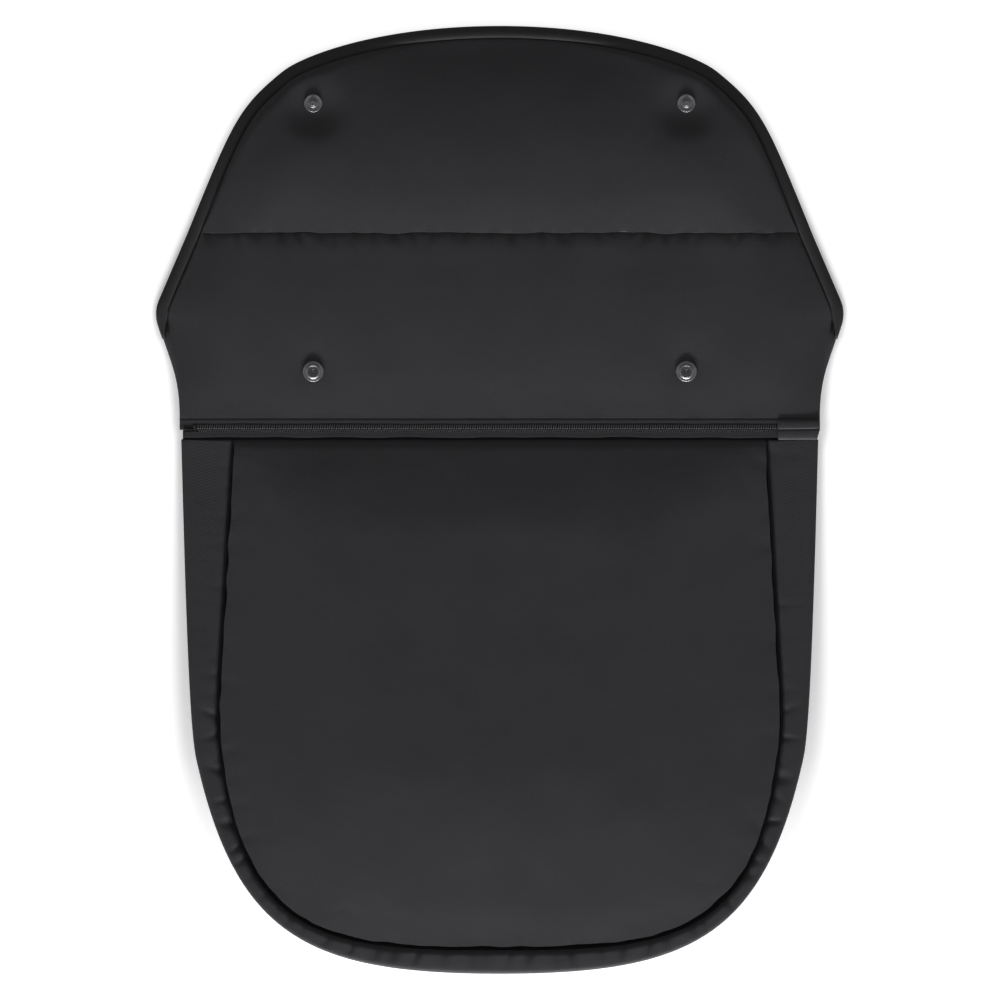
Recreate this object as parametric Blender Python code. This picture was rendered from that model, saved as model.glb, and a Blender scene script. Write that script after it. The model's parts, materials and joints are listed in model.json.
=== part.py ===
"""A padded leg cover for a pushchair, lying flat on its back, as an assembly of separate pieces.

Metres, +Z up. X runs across the cover, +Y from the toe to the top of the flap, and Z = 0 is the
surface it lies on. The origin is under the middle of the whole cover.
"""

import math

import bmesh
import bpy
from mathutils import Vector, geometry

# Lengths along the cover: toe to zip, zip to fold, fold to the top of the flap
BOOT_LENGTH = 0.3806
APRON_LENGTH = 0.1453
FLAP_LENGTH = 0.1505

# Half widths of the outline, from the top down
FLAP_SHOULDER_HALF_WIDTH = 0.1547
FOLD_HALF_WIDTH = 0.2237
CORNER_HALF_WIDTH = 0.2466
ZIP_END_HALF_WIDTH = 0.2288
BOOT_TOP_HALF_WIDTH = 0.2277
BOOT_LOW_HALF_WIDTH = 0.2168
SEAM_TOP_HALF_WIDTH = 0.1909
SEAM_LOW_HALF_WIDTH = 0.2020

# Where those widths are met
FLAP_SHOULDER_DROP = 0.0323
CORNER_ABOVE_ZIP = 0.0760
BOOT_LOW_ABOVE_TOE = 0.1529
SEAM_LOW_ABOVE_TOE = 0.1788
SEAM_ABOVE_TOE = 0.0168
CORNER_TRIM = 0.0082

# Headings of those curves, in degrees from +X, and the handles' shares of each span
FLAP_START_HEADING = 112.1
FLAP_SHOULDER_HEADING = 141.0
FLAP_HANDLES = (0.640, 0.308, 0.100, 0.562)
CORNER_HEADING = 73.0
APRON_SIDE_HANDLE = 0.43
CORNER_SHARPNESS = 0.6
BOOT_HEADINGS = (268.5, 257.3)
BOOT_HANDLES = (0.60, 0.09, 0.49, 0.515)
SEAM_HEADINGS = (273.1, 266.1)
SEAM_HANDLES = (0.66, 0.05, 0.62, 0.455)

# Fabric, padding and their clearances
FABRIC = 0.0008
GUSSET_FABRIC = 0.0012
SEAM_GAP = 0.0003
PAD_THICKNESS = 0.0107
PANEL_THICKNESS = 0.0120
PAD_ROUNDING = 0.028
PANEL_ROUNDING = 0.046
EDGE_THICKNESS = 2 * FABRIC + SEAM_GAP

# Folds, as heights of the axes above the floor
FLAP_AXIS_HEIGHT = 0.0110
APRON_AXIS_HEIGHT = 0.0060
FOLD_GAP = 0.0004

# Edge binding, a folded tape round the rim
BINDING_WIDTH = 0.0070
BINDING_WALL = 0.0008
BINDING_TURN = BINDING_WALL + SEAM_GAP
BINDING_HEIGHT = 2 * BINDING_TURN + EDGE_THICKNESS
BINDING_FLAT = 0.0085

# Rings of the pads' nets inside their edges, and how far a held edge takes to come down
RING_OUTER = 0.0086
RING_INNER = 0.0130
EDGE_RUN = 0.012
ZIP_RUN = 0.016
SEAM_FLAT = 0.0006

# Boot
PANEL_MOUTH_HEIGHT = 0.0020
PANEL_TOE_RISE = 0.0180
PANEL_RISE_POWER = 1.3
PANEL_SEAM_FLAT = 0.0006
PANEL_TOP_FLAT = 0.0020
GUSSET_FLANGE = 0.0080
GUSSET_FULLNESS = 0.8
GUSSET_POINTS = 9
GUSSET_REACH = 0.12
BOOT_TUCK = 0.0006
HEM_ABOVE_TOE = 0.2080
HEM_SAG = 0.0120
HEM_ELASTIC_WIDTH = 0.0100
HEM_ELASTIC_INSET = 0.0020
ELASTIC_THICKNESS = 0.0007
REAR_ELASTIC_WIDTH = 0.0060
REAR_ELASTIC_BELOW_ZIP = 0.0220

# Zip band
BAND_WIDTH = 0.0159
CHAIN_ABOVE_AXIS = 0.0077
CHAIN_HALF_WIDTH = 0.0035
CHAIN_SPLIT = 0.0007
CHAIN_HEIGHT = 0.0022
CHAIN_SOFT = 0.0006
CHAIN_LEFT_INSET = 0.0124
CHAIN_RIGHT_INSET = 0.0083
TAPE_THICKNESS = 0.0006
CHAIN_MIDDLE_HEIGHT = 0.0045
FACING_TUCK = 0.0022
TAPE_TUCK = 0.0012
LOWER_BAND_INSET = 0.0023
FABRIC_SOFT = 0.0002
GARAGE_LENGTH = 0.0300
GARAGE_INSET = 0.0004
STOP_LENGTH = 0.0025

# Slider and pull
SLIDER_LENGTH = 0.0140
SLIDER_WIDTH = 0.0112
SLIDER_PLATE = 0.0010
SLIDER_INSET = 0.0193
SLIDER_WEB = 0.0009
WEB_START = 0.0015
WEB_END = 0.0062
METAL_SOFT = 0.0003
CROWN_HALF_LENGTH = 0.0055
CROWN_WIDTH = 0.0018
CROWN_WALL = 0.0006
PULL_AXIS_HEIGHT = 0.0015
PULL_WIRE = 0.0009
PULL_RING_INNER = 0.0030
PULL_RING_LENGTH = 0.0070
PULL_LENGTH = 0.0270
PULL_WIDTH = 0.0080
PULL_FLARE = 0.0030
PULL_CORNER = 0.0020
JOIN = 0.0003
CUT_PAST = 0.001

# Press studs
SNAP_HALF_SPACING = 0.1333
SNAP_FROM_FOLD = 0.0958
SNAP_BELOW_AXIS = 0.0023
SNAP_BACK_HEIGHT = 0.0040
SNAP_FLAT_RADIUS = 0.0084
SNAP_DIMPLE_RADIUS = 0.0200
RIVET_RADIUS = 0.0014
RIVET_HOLE_RADIUS = 0.0023
SOCKET_RADIUS = 0.0075
SOCKET_HEIGHT = 0.00265
SOCKET_RECESS_RADIUS = 0.0035
SOCKET_FLOOR = 0.0007
STUD_RADIUS = 0.0065
STUD_FLANGE = 0.0009
KNOB_RADIUS = 0.0023
KNOB_HEIGHT = 0.0022
KNOB_ROOF = 0.0009
CAP_RADIUS = 0.0060
CAP_THICKNESS = 0.0009
SPRING_OUTER_RADIUS = 0.0032
SPRING_INNER_RADIUS = 0.0026
SPRING_HEIGHT = 0.0006
SNAP_SEAT_GAP = 0.00025
SNAP_SOFT = 0.0004
SNAP_SIDES = 18
HOLE_SIDES = 8
SEAT_SIDES = 12
DIMPLE_SIDES = 14

# Places that follow from the lengths
LENGTH = BOOT_LENGTH + APRON_LENGTH + FLAP_LENGTH
Y_TOP = LENGTH / 2
Y_TOE = -LENGTH / 2
Y_FOLD = Y_TOP - FLAP_LENGTH
Y_AXIS = Y_TOE + BOOT_LENGTH
Y_APRON_LOW = Y_AXIS + BAND_WIDTH
Y_CHAIN = Y_AXIS + CHAIN_ABOVE_AXIS
Y_BOOT_TOP = Y_AXIS + BOOT_TUCK
Y_SEAM_TOE = Y_TOE + SEAM_ABOVE_TOE
Y_HEM = Y_TOE + HEM_ABOVE_TOE
FACING_BOTTOM = CHAIN_MIDDLE_HEIGHT + TAPE_THICKNESS / 2 + SEAM_GAP
FACING_TOP = FACING_BOTTOM + FABRIC
SNAP_FRONT_HEIGHT = FLAP_AXIS_HEIGHT - SNAP_BELOW_AXIS
GARAGE_LEFT = ZIP_END_HALF_WIDTH - GARAGE_LENGTH
SLIDER_X = ZIP_END_HALF_WIDTH - SLIDER_INSET
CHAIN_LEFT = CHAIN_LEFT_INSET - ZIP_END_HALF_WIDTH
CHAIN_RIGHT = ZIP_END_HALF_WIDTH - CHAIN_RIGHT_INSET
SLIDER_UNDER_TOP = FACING_TOP + SEAM_GAP
SLIDER_TOP = SLIDER_UNDER_TOP + SLIDER_PLATE

# How finely the soft pieces are divided
CURVE_STEP = 0.019
LONG_STEP = 0.032
GRID_STEP = 0.046
PAD_GRID_MARGIN = 0.026
PANEL_RINGS = (0.0085, 0.024)
PANEL_GRID_MARGIN = 0.034
HEM_STEPS = 12
SHARP_DEGREES = 35


def clear_scene():
    """Removes every object that the file holds."""
    for obj in list(bpy.data.objects):
        bpy.data.objects.remove(obj, do_unlink=True)


def linear(value):
    """One sRGB channel, 0 to 255, as a linear value."""
    share = value / 255
    return share / 12.92 if share <= 0.04045 else ((share + 0.055) / 1.055) ** 2.4


def material(name, colour, roughness, metallic=0.0):
    """A Principled material of an sRGB colour."""
    made = bpy.data.materials.new(name)
    made.use_nodes = True
    shader = made.node_tree.nodes["Principled BSDF"]
    shader.inputs["Base Color"].default_value = [linear(part) for part in colour] + [1.0]
    shader.inputs["Roughness"].default_value = roughness
    shader.inputs["Metallic"].default_value = metallic
    return made


class Carrier:
    """An empty on a joint's axis, which carries the pieces of one body."""

    def __init__(self, name, place, parent=None):
        self.place = Vector(place)
        self.empty = bpy.data.objects.new(name, None)
        bpy.context.scene.collection.objects.link(self.empty)
        self.empty.parent = parent.empty if parent else None
        self.empty.location = self.place - (parent.place if parent else Vector())


def add_piece(name, mesh, finish, carrier):
    """Makes an object from a bmesh in world places, carried by the empty of its body."""
    bmesh.ops.recalc_face_normals(mesh, faces=mesh.faces)
    bmesh.ops.translate(mesh, verts=mesh.verts, vec=-carrier.place)
    data = bpy.data.meshes.new(name)
    mesh.to_mesh(data)
    mesh.free()
    data.shade_smooth()
    data.set_sharp_from_angle(angle=math.radians(SHARP_DEGREES))
    data.materials.append(finish)
    obj = bpy.data.objects.new(name, data)
    bpy.context.scene.collection.objects.link(obj)
    obj.parent = carrier.empty
    return obj


def heading(degrees):
    """The unit vector in plan at this angle from +X."""
    return Vector((math.cos(math.radians(degrees)), math.sin(math.radians(degrees))))


def bezier(start, start_handle, end_handle, end, step=CURVE_STEP):
    """Points along a cubic curve in plan, about one step apart."""
    corners = (start, start_handle, end_handle, end)
    reach = sum((b - a).length for a, b in zip(corners, corners[1:]))
    count = max(2, round(reach / step))
    points = []
    for index in range(count + 1):
        t = index / count
        s = 1 - t
        weights = (s**3, 3 * s * s * t, 3 * s * t * t, t**3)
        points.append(sum((p * w for p, w in zip(corners, weights)), Vector((0, 0))))
    return points


def line(start, end, step=CURVE_STEP):
    """Points along a straight line in plan, about one step apart."""
    count = max(1, round((end - start).length / step))
    return [start.lerp(end, index / count) for index in range(count + 1)]


def joined(*runs):
    """Runs of points end to end, each shared point once."""
    points = []
    for run in runs:
        points += [p for p in run if not points or (p - points[-1]).length > 1e-6]
    return points


def mirrored(points):
    """The points on the other side of the cover, in reverse order."""
    return [Vector((-p.x, p.y)) for p in reversed(points)]


def two_curves(start, middle, end, headings, handles):
    """Two cubic curves that meet smoothly, the second ending square to the middle line."""
    first = (middle - start).length
    second = (end - middle).length
    way = heading(headings[1])
    side = bezier(
        start,
        start + heading(headings[0]) * handles[0] * first,
        middle - way * handles[1] * first,
        middle,
    )
    round_end = bezier(
        middle,
        middle + way * handles[2] * second,
        end + Vector((handles[3] * second, 0)),
        end,
    )
    return joined(side, round_end)


def boot_outline():
    """The boot's outer edge in plan, right half, from the zip to the toe."""
    top = Vector((BOOT_TOP_HALF_WIDTH, Y_BOOT_TOP))
    low = Vector((BOOT_LOW_HALF_WIDTH, Y_TOE + BOOT_LOW_ABOVE_TOE))
    return two_curves(top, low, Vector((0, Y_TOE)), BOOT_HEADINGS, BOOT_HANDLES)


def boot_seam():
    """The seam between the front panel and the gusset in plan, right half."""
    top = Vector((SEAM_TOP_HALF_WIDTH, Y_BOOT_TOP))
    low = Vector((SEAM_LOW_HALF_WIDTH, Y_TOE + SEAM_LOW_ABOVE_TOE))
    return two_curves(top, low, Vector((0, Y_SEAM_TOE)), SEAM_HEADINGS, SEAM_HANDLES)


def flap_rim():
    """The flap's outer edge, right half, from the fold to the top."""
    start = Vector((FOLD_HALF_WIDTH, Y_FOLD))
    shoulder = Vector((FLAP_SHOULDER_HALF_WIDTH, Y_TOP - FLAP_SHOULDER_DROP))
    headings = (FLAP_START_HEADING, FLAP_SHOULDER_HEADING)
    return two_curves(start, shoulder, Vector((0, Y_TOP)), headings, FLAP_HANDLES)


def apron_side():
    """The apron's turned side edge, right, from the zip up to the corner's start."""
    corner = Vector((CORNER_HALF_WIDTH, Y_APRON_LOW + CORNER_ABOVE_ZIP))
    start = Vector((ZIP_END_HALF_WIDTH, Y_APRON_LOW))
    way = heading(CORNER_HEADING)
    end = corner - way * CORNER_TRIM
    reach = APRON_SIDE_HANDLE * (end - start).length
    return bezier(start, start + Vector((0, reach)), end - way * reach, end)


def apron_rim():
    """The apron's bound edge, right, round the corner and up to the fold."""
    corner = Vector((CORNER_HALF_WIDTH, Y_APRON_LOW + CORNER_ABOVE_ZIP))
    fold = Vector((FOLD_HALF_WIDTH, Y_FOLD))
    low = corner - heading(CORNER_HEADING) * CORNER_TRIM
    high = corner + (fold - corner).normalized() * CORNER_TRIM
    handles = (low.lerp(corner, CORNER_SHARPNESS), high.lerp(corner, CORNER_SHARPNESS))
    turn = bezier(low, *handles, high, CORNER_TRIM / 2)
    return joined(turn, line(high, fold))


def left_normal(before, after):
    """The unit vector to the left of the way from one point to the next."""
    way = (after - before).normalized()
    return Vector((-way.y, way.x))


def offset_open(points, distance):
    """The open line moved to its left by a distance, with mitred turns."""
    moved = []
    for index, point in enumerate(points):
        before = points[max(index - 1, 0)]
        after = points[min(index + 1, len(points) - 1)]
        first = left_normal(before, point) if point != before else left_normal(point, after)
        second = left_normal(point, after) if point != after else first
        middle = (first + second).normalized()
        moved.append(point + middle * distance / max(middle.dot(first), 0.5))
    return moved


def along_edges(points, closed=True):
    """Pairs of neighbouring points."""
    pairs = list(zip(points, points[1:]))
    if closed:
        pairs.append((points[-1], points[0]))
    return pairs


def distance_to(point, pairs):
    """The least distance in plan from a point to a run of edges."""
    best = 1e9
    for start, end in pairs:
        way = end - start
        share = (point - start).dot(way) / max(way.length_squared, 1e-18)
        nearest = start + way * min(1.0, max(0.0, share))
        best = min(best, (point - nearest).length)
    return best


def inside(point, polygon):
    """Whether a point lies within a closed outline."""
    crossings = 0
    for start, end in along_edges(polygon):
        if (start.y > point.y) != (end.y > point.y):
            at = start.x + (point.y - start.y) * (end.x - start.x) / (end.y - start.y)
            crossings += point.x < at
    return crossings % 2 == 1


def inset_ring(outline, distance):
    """A closed ring inside a counter-clockwise outline, without the points that would cross."""
    edges = along_edges(outline)
    ring = []
    for index, point in enumerate(outline):
        before = outline[index - 1]
        after = outline[(index + 1) % len(outline)]
        first = left_normal(before, point)
        second = left_normal(point, after)
        middle = (first + second).normalized()
        moved = point + middle * distance / max(middle.dot(first), 0.35)
        clear = distance_to(moved, edges) > 0.985 * distance
        spaced = not ring or (moved - ring[-1]).length > 0.4 * CURVE_STEP
        if clear and spaced:
            ring.append(moved)
    if (ring[0] - ring[-1]).length < 0.4 * CURVE_STEP:
        ring.pop()
    return ring


def circle(centre, radius, count):
    """Points round a circle in plan, counter-clockwise."""
    return [centre + heading(360 * index / count) * radius for index in range(count)]


def inner_grid(outline, margin, snaps):
    """Points on a square grid, clear of the outline and of the press studs."""
    edges = along_edges(outline)
    low_y = min(p.y for p in outline)
    rows = int((max(p.y for p in outline) - low_y) / GRID_STEP) + 1
    columns = int(max(p.x for p in outline) / GRID_STEP) + 1
    points = []
    for row in range(rows):
        for column in range(-columns, columns + 1):
            point = Vector((column * GRID_STEP, low_y + (row + 0.5) * GRID_STEP))
            clear = all((point - snap).length > 1.5 * SNAP_DIMPLE_RADIUS for snap in snaps)
            if clear and inside(point, outline) and distance_to(point, edges) > margin:
                points.append(point)
    return points


class Sheet:
    """A flat net of triangles inside an outline, which several layers share."""

    def __init__(self, outline, ring_distances=(), snaps=(), grid_margin=None):
        self.rings = [inset_ring(outline, distance) for distance in ring_distances]
        holes = [circle(snap, RIVET_HOLE_RADIUS, HOLE_SIDES) for snap in snaps]
        loops = [outline] + self.rings + holes
        for snap in snaps:
            loops.append(circle(snap, SNAP_FLAT_RADIUS, SEAT_SIDES))
            loops.append(circle(snap, SNAP_DIMPLE_RADIUS, DIMPLE_SIDES))
        points = []
        edges = []
        for loop in loops:
            first = len(points)
            points += loop
            count = len(loop)
            edges += [(first + i, first + (i + 1) % count) for i in range(count)]
        if grid_margin:
            points += inner_grid(outline, grid_margin, snaps)
        net = geometry.delaunay_2d_cdt(points, edges, [], 0, 1e-7)
        self.points = net[0]
        self.triangles = []
        for triangle in net[2]:
            middle = sum((self.points[i] for i in triangle), Vector((0, 0))) / 3
            if inside(middle, outline) and not any(inside(middle, hole) for hole in holes):
                self.triangles.append(triangle)

    def within(self, ring):
        """The triangles that lie inside one of the rings."""
        kept = []
        for triangle in self.triangles:
            middle = sum((self.points[i] for i in triangle), Vector((0, 0))) / 3
            if inside(middle, ring):
                kept.append(triangle)
        return kept

    def layer(self, triangles, bottom, top):
        """A closed solid between two heights, each a function of the place in plan."""
        mesh = bmesh.new()
        used = sorted({index for triangle in triangles for index in triangle})
        corner = {}
        for index in used:
            point = self.points[index]
            corner[index] = mesh.verts.new((point.x, point.y, top(point)))
        for triangle in triangles:
            mesh.faces.new([corner[index] for index in triangle])
        grown = bmesh.ops.extrude_face_region(mesh, geom=list(mesh.faces))
        for item in grown["geom"]:
            if isinstance(item, bmesh.types.BMVert):
                item.co.z = bottom(Vector((item.co.x, item.co.y)))
        return mesh


def rise(distance, margin, reach):
    """From 0 at the margin to 1 once a point lies a reach further in, as a quarter sine."""
    share = min(1.0, max(0.0, (distance - margin) / reach))
    return math.sin(share * math.pi / 2)


def eased(share):
    """A smooth step from 0 to 1."""
    share = min(1.0, max(0.0, share))
    return share * share * (3 - 2 * share)


class Pad:
    """The heights of a quilted pad: its crown, its drawn-in edges and its press-stud dimples."""

    def __init__(self, edges, snaps=(), base=None, thickness=PAD_THICKNESS, reach=PAD_ROUNDING):
        self.edges = edges
        self.snaps = snaps
        self.base = base or (lambda point: 0.0)
        self.thickness = thickness
        self.reach = reach

    def dimple(self, point):
        """0 on a press stud's flat seat, and 1 clear of its dimple."""
        shares = [1.0]
        for snap in self.snaps:
            away = (point - snap).length - SNAP_FLAT_RADIUS
            shares.append(eased(away / (SNAP_DIMPLE_RADIUS - SNAP_FLAT_RADIUS)))
        return min(shares)

    def lift(self, point):
        """How far the back is held up near the pad's edges."""
        lifts = [0.0]
        for pairs, _, height, held, run in self.edges:
            share = rise(distance_to(point, pairs), held, run)
            lifts.append(height * (1 - share))
        return max(lifts)

    def bottom(self, point):
        """The height of the pad's back face."""
        free = self.base(point) + self.lift(point)
        share = self.dimple(point)
        return free * share + SNAP_BACK_HEIGHT * (1 - share)

    def top(self, point):
        """The height of the pad's front face."""
        shares = []
        for pairs, margin, _, _, _ in self.edges:
            shares.append(rise(distance_to(point, pairs), margin, self.reach))
        crown = (self.thickness - EDGE_THICKNESS) * min(shares)
        lift = self.lift(point)
        free = self.base(point) + EDGE_THICKNESS + max(crown, 0.0)
        free += lift * (1 - min(shares))
        share = self.dimple(point)
        return free * share + SNAP_FRONT_HEIGHT * (1 - share)


def add_pad(prefix, sheet, pad, wadding_ring, finishes, carrier):
    """The shell, wadding and lining of one pad, as three layers of one net."""
    add_piece(
        prefix + "_shell",
        sheet.layer(sheet.triangles, lambda p: pad.top(p) - FABRIC, pad.top),
        finishes["shell"],
        carrier,
    )
    clear = FABRIC + SEAM_GAP
    add_piece(
        prefix + "_wadding",
        sheet.layer(
            sheet.within(wadding_ring),
            lambda p: pad.bottom(p) + clear,
            lambda p: pad.top(p) - clear,
        ),
        finishes["wadding"],
        carrier,
    )
    add_piece(
        prefix + "_lining",
        sheet.layer(sheet.triangles, pad.bottom, lambda p: pad.bottom(p) + FABRIC),
        finishes["lining"],
        carrier,
    )


def loft(sections):
    """A solid through closed sections of equal count, extruded from one to the next."""
    mesh = bmesh.new()
    face = mesh.faces.new([mesh.verts.new(point) for point in sections[0]])
    places = list(sections[0])
    for section in sections[1:]:
        old = [face] + list(face.edges)
        grown = bmesh.ops.extrude_face_region(mesh, geom=old)["geom"]
        face = next(item for item in grown if isinstance(item, bmesh.types.BMFace))
        for corner in face.verts:
            index = min(range(len(places)), key=lambda i: (places[i] - corner.co).length)
            corner.co = section[index]
        places = list(section)
    return mesh


def binding_sections(path):
    """The folded tape's section at each point of a rim, with the cover to the left of the way."""
    soft = BINDING_WALL / 2
    outer = BINDING_HEIGHT
    cavity = BINDING_WALL + 2 * SEAM_GAP + EDGE_THICKNESS
    profile = [
        (soft, 0.0),
        (BINDING_WIDTH, 0.0),
        (BINDING_WIDTH, BINDING_WALL),
        (BINDING_WALL, BINDING_WALL),
        (BINDING_WALL, cavity),
        (BINDING_WIDTH, cavity),
        (BINDING_WIDTH, outer),
        (soft, outer),
        (0.0, outer - soft),
        (0.0, soft),
    ]
    sections = []
    rails = [offset_open(path, across) for across, _ in profile]
    for station in range(len(path)):
        section = []
        for rail, (_, height) in zip(rails, profile):
            section.append(Vector((rail[station].x, rail[station].y, height)))
        sections.append(section)
    return sections


def trimmed(path, low=None, high=None):
    """A path whose first or last point is slid along its end to a given Y."""
    path = list(path)
    if low is not None:
        way = path[1] - path[0]
        path[0] = path[0] + way * (low - path[0].y) / way.y
    if high is not None:
        way = path[-1] - path[-2]
        path[-1] = path[-1] + way * (high - path[-1].y) / way.y
    return path


def box(low, high, soft=0.0):
    """A block between two corners, with its edges eased."""
    mesh = bmesh.new()
    made = bmesh.ops.create_cube(mesh, size=1.0)
    low = Vector(low)
    high = Vector(high)
    size = high - low
    bmesh.ops.scale(mesh, vec=size, verts=made["verts"])
    bmesh.ops.translate(mesh, vec=(low + high) / 2, verts=made["verts"])
    if soft:
        bmesh.ops.bevel(
            mesh, geom=list(mesh.edges), offset=soft, segments=1, profile=0.5, affect="EDGES"
        )
    return mesh


def turned(profile, centre):
    """A solid turned about a vertical line, from (radius, height) pairs."""
    mesh = bmesh.new()
    corners = [mesh.verts.new((radius, 0.0, height)) for radius, height in profile]
    edges = [mesh.edges.new(pair) for pair in zip(corners, corners[1:] + corners[:1])]
    bmesh.ops.spin(
        mesh,
        geom=corners + edges,
        cent=(0, 0, 0),
        axis=(0, 0, 1),
        angle=2 * math.pi,
        steps=SNAP_SIDES,
        use_merge=True,
    )
    bmesh.ops.remove_doubles(mesh, verts=mesh.verts, dist=1e-6)
    loose = [edge for edge in mesh.edges if not edge.link_faces]
    bmesh.ops.delete(mesh, geom=loose, context="EDGES")
    bmesh.ops.translate(mesh, verts=mesh.verts, vec=(centre.x, centre.y, 0))
    return mesh


def panel_base(point):
    """The height of the front panel's back above the floor, rising to the toe."""
    share = max(0.0, (Y_BOOT_TOP - point.y) / (Y_BOOT_TOP - Y_SEAM_TOE))
    return PANEL_MOUTH_HEIGHT + PANEL_TOE_RISE * share**PANEL_RISE_POWER


def add_front_panel(finishes, carrier):
    """The boot's padded front, between the zip and the U-shaped seam."""
    half = boot_seam()
    seam = joined(half, mirrored(half))
    clear_left = offset_open(list(reversed(seam)), SEAM_GAP)
    low = trimmed(clear_left, low=Y_BOOT_TOP, high=Y_BOOT_TOP)
    top = line(low[-1], low[0])
    outline = joined(low, top)[:-1]
    sheet = Sheet(outline, PANEL_RINGS, grid_margin=PANEL_GRID_MARGIN)
    pad = Pad(
        [
            (along_edges(low, closed=False), PANEL_SEAM_FLAT, 0.0, 0.0, EDGE_RUN),
            (along_edges(top, closed=False), PANEL_TOP_FLAT, 0.0, 0.0, EDGE_RUN),
        ],
        base=panel_base,
        thickness=PANEL_THICKNESS,
        reach=PANEL_ROUNDING,
    )
    add_pad("front_panel", sheet, pad, sheet.rings[0], finishes, carrier)


def gusset_section(seam, outer, inward):
    """The gusset's section at one station, from the seam out, down and back in under the boot."""
    reach = outer - seam
    top = panel_base(seam) + 2 * FABRIC
    middle = top / 2
    share = 1 - GUSSET_FABRIC / reach.length

    def bulge(width, half_height):
        points = []
        for index in range(GUSSET_POINTS):
            angle = math.pi / 2 - math.pi * index / (GUSSET_POINTS - 1)
            plan = seam + width * max(math.cos(angle), 0.0) ** GUSSET_FULLNESS
            points.append(Vector((plan.x, plan.y, middle + half_height * math.sin(angle))))
        return points

    flange = seam + inward * GUSSET_FLANGE
    section = bulge(reach, middle)
    section.append(Vector((flange.x, flange.y, 0.0)))
    section.append(Vector((flange.x, flange.y, GUSSET_FABRIC)))
    section += reversed(bulge(reach * share, middle - GUSSET_FABRIC))
    return section


def paired_stations():
    """Points of the seam with the points of the outline that face them, right half."""
    seam = boot_seam()
    outline = boot_outline()
    past_toe = Vector((-outline[-2].x, outline[-2].y))
    edges = along_edges(outline + [past_toe], closed=False)
    stations = []
    for index, point in enumerate(seam):
        before = seam[max(index - 1, 0)]
        after = seam[min(index + 1, len(seam) - 1)]
        away = left_normal(before, after)
        if index == 0:
            away = Vector((1, 0))
        if index == len(seam) - 1:
            away = Vector((0, -1))
        far = point + away * GUSSET_REACH
        hits = [geometry.intersect_line_line_2d(point, far, *edge) for edge in edges]
        outer = min((hit for hit in hits if hit), key=lambda hit: (hit - point).length)
        stations.append((point, outer, -away))
    return stations


def add_gusset(finishes, carrier):
    """The side strip round the U, in one piece from one end of the zip to the other."""
    right = paired_stations()
    sections = [gusset_section(*station) for station in right]
    for seam, outer, inward in reversed(right[:-1]):
        flip = [Vector((-v.x, v.y)) for v in (seam, outer, inward)]
        sections.append(gusset_section(*flip))
    add_piece("gusset", loft(sections), finishes["shell"], carrier)


def add_heel(finishes, carrier):
    """The back panel of the foot pocket and the elastic in its hem."""
    inset = GUSSET_FLANGE + SEAM_GAP
    half = [seam + inward * inset for seam, _, inward in paired_stations()]
    above = [p for p in half if p.y >= Y_HEM]
    below = [p for p in half if p.y < Y_HEM]
    share = (Y_HEM - below[0].y) / (above[-1].y - below[0].y)
    width = below[0].lerp(above[-1], share).x
    edge = list(reversed(joined(below, mirrored(below))))

    def hem_line(drop, half_width):
        points = []
        for index in range(HEM_STEPS + 1):
            x = half_width * (1 - 2 * index / HEM_STEPS)
            points.append(Vector((x, Y_HEM - drop - HEM_SAG * (1 - (x / width) ** 2))))
        return points

    hem = hem_line(0.0, width)
    outline = joined(edge, hem)
    sheet = Sheet(outline)
    top = GUSSET_FABRIC
    panel = sheet.layer(sheet.triangles, lambda p: 0.0, lambda p: top)
    add_piece("heel_panel", panel, finishes["lining"], carrier)
    strip_width = width - HEM_ELASTIC_INSET
    near = hem_line(HEM_ELASTIC_INSET, strip_width)
    far = hem_line(HEM_ELASTIC_INSET + HEM_ELASTIC_WIDTH, strip_width)
    add_piece(
        "heel_hem_elastic",
        strip(near, far, top + SEAM_GAP, top + SEAM_GAP + ELASTIC_THICKNESS),
        finishes["elastic"],
        carrier,
    )


def strip(near, far, low, high):
    """A flat band between two lines of points in plan."""
    sections = []
    for a, b in zip(near, far):
        sections.append(
            [
                Vector((a.x, a.y, low)),
                Vector((b.x, b.y, low)),
                Vector((b.x, b.y, high)),
                Vector((a.x, a.y, high)),
            ]
        )
    return loft(sections)


def add_rear_elastics(finishes, carrier):
    """The elastic tape along each free rear edge of the gusset, between its hem and the zip."""
    upper = Y_AXIS - REAR_ELASTIC_BELOW_ZIP
    run = [p for p in boot_seam() if Y_HEM < p.y < upper]
    edge = (GUSSET_FLANGE - REAR_ELASTIC_WIDTH) / 2
    low = GUSSET_FABRIC + SEAM_GAP
    for side, name in ((1, "rear_elastic_right"), (-1, "rear_elastic_left")):
        near = [Vector((side * (p.x - edge), p.y)) for p in run]
        far = [Vector((side * (p.x - edge - REAR_ELASTIC_WIDTH), p.y)) for p in run]
        add_piece(name, strip(near, far, low, low + ELASTIC_THICKNESS), finishes["elastic"], carrier)


def rim_edge(run):
    """A bound rim: how far in it stays flat, how high its back is held, and over what run."""
    return (along_edges(run, closed=False), BINDING_FLAT, BINDING_TURN, BINDING_FLAT, EDGE_RUN)


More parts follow.
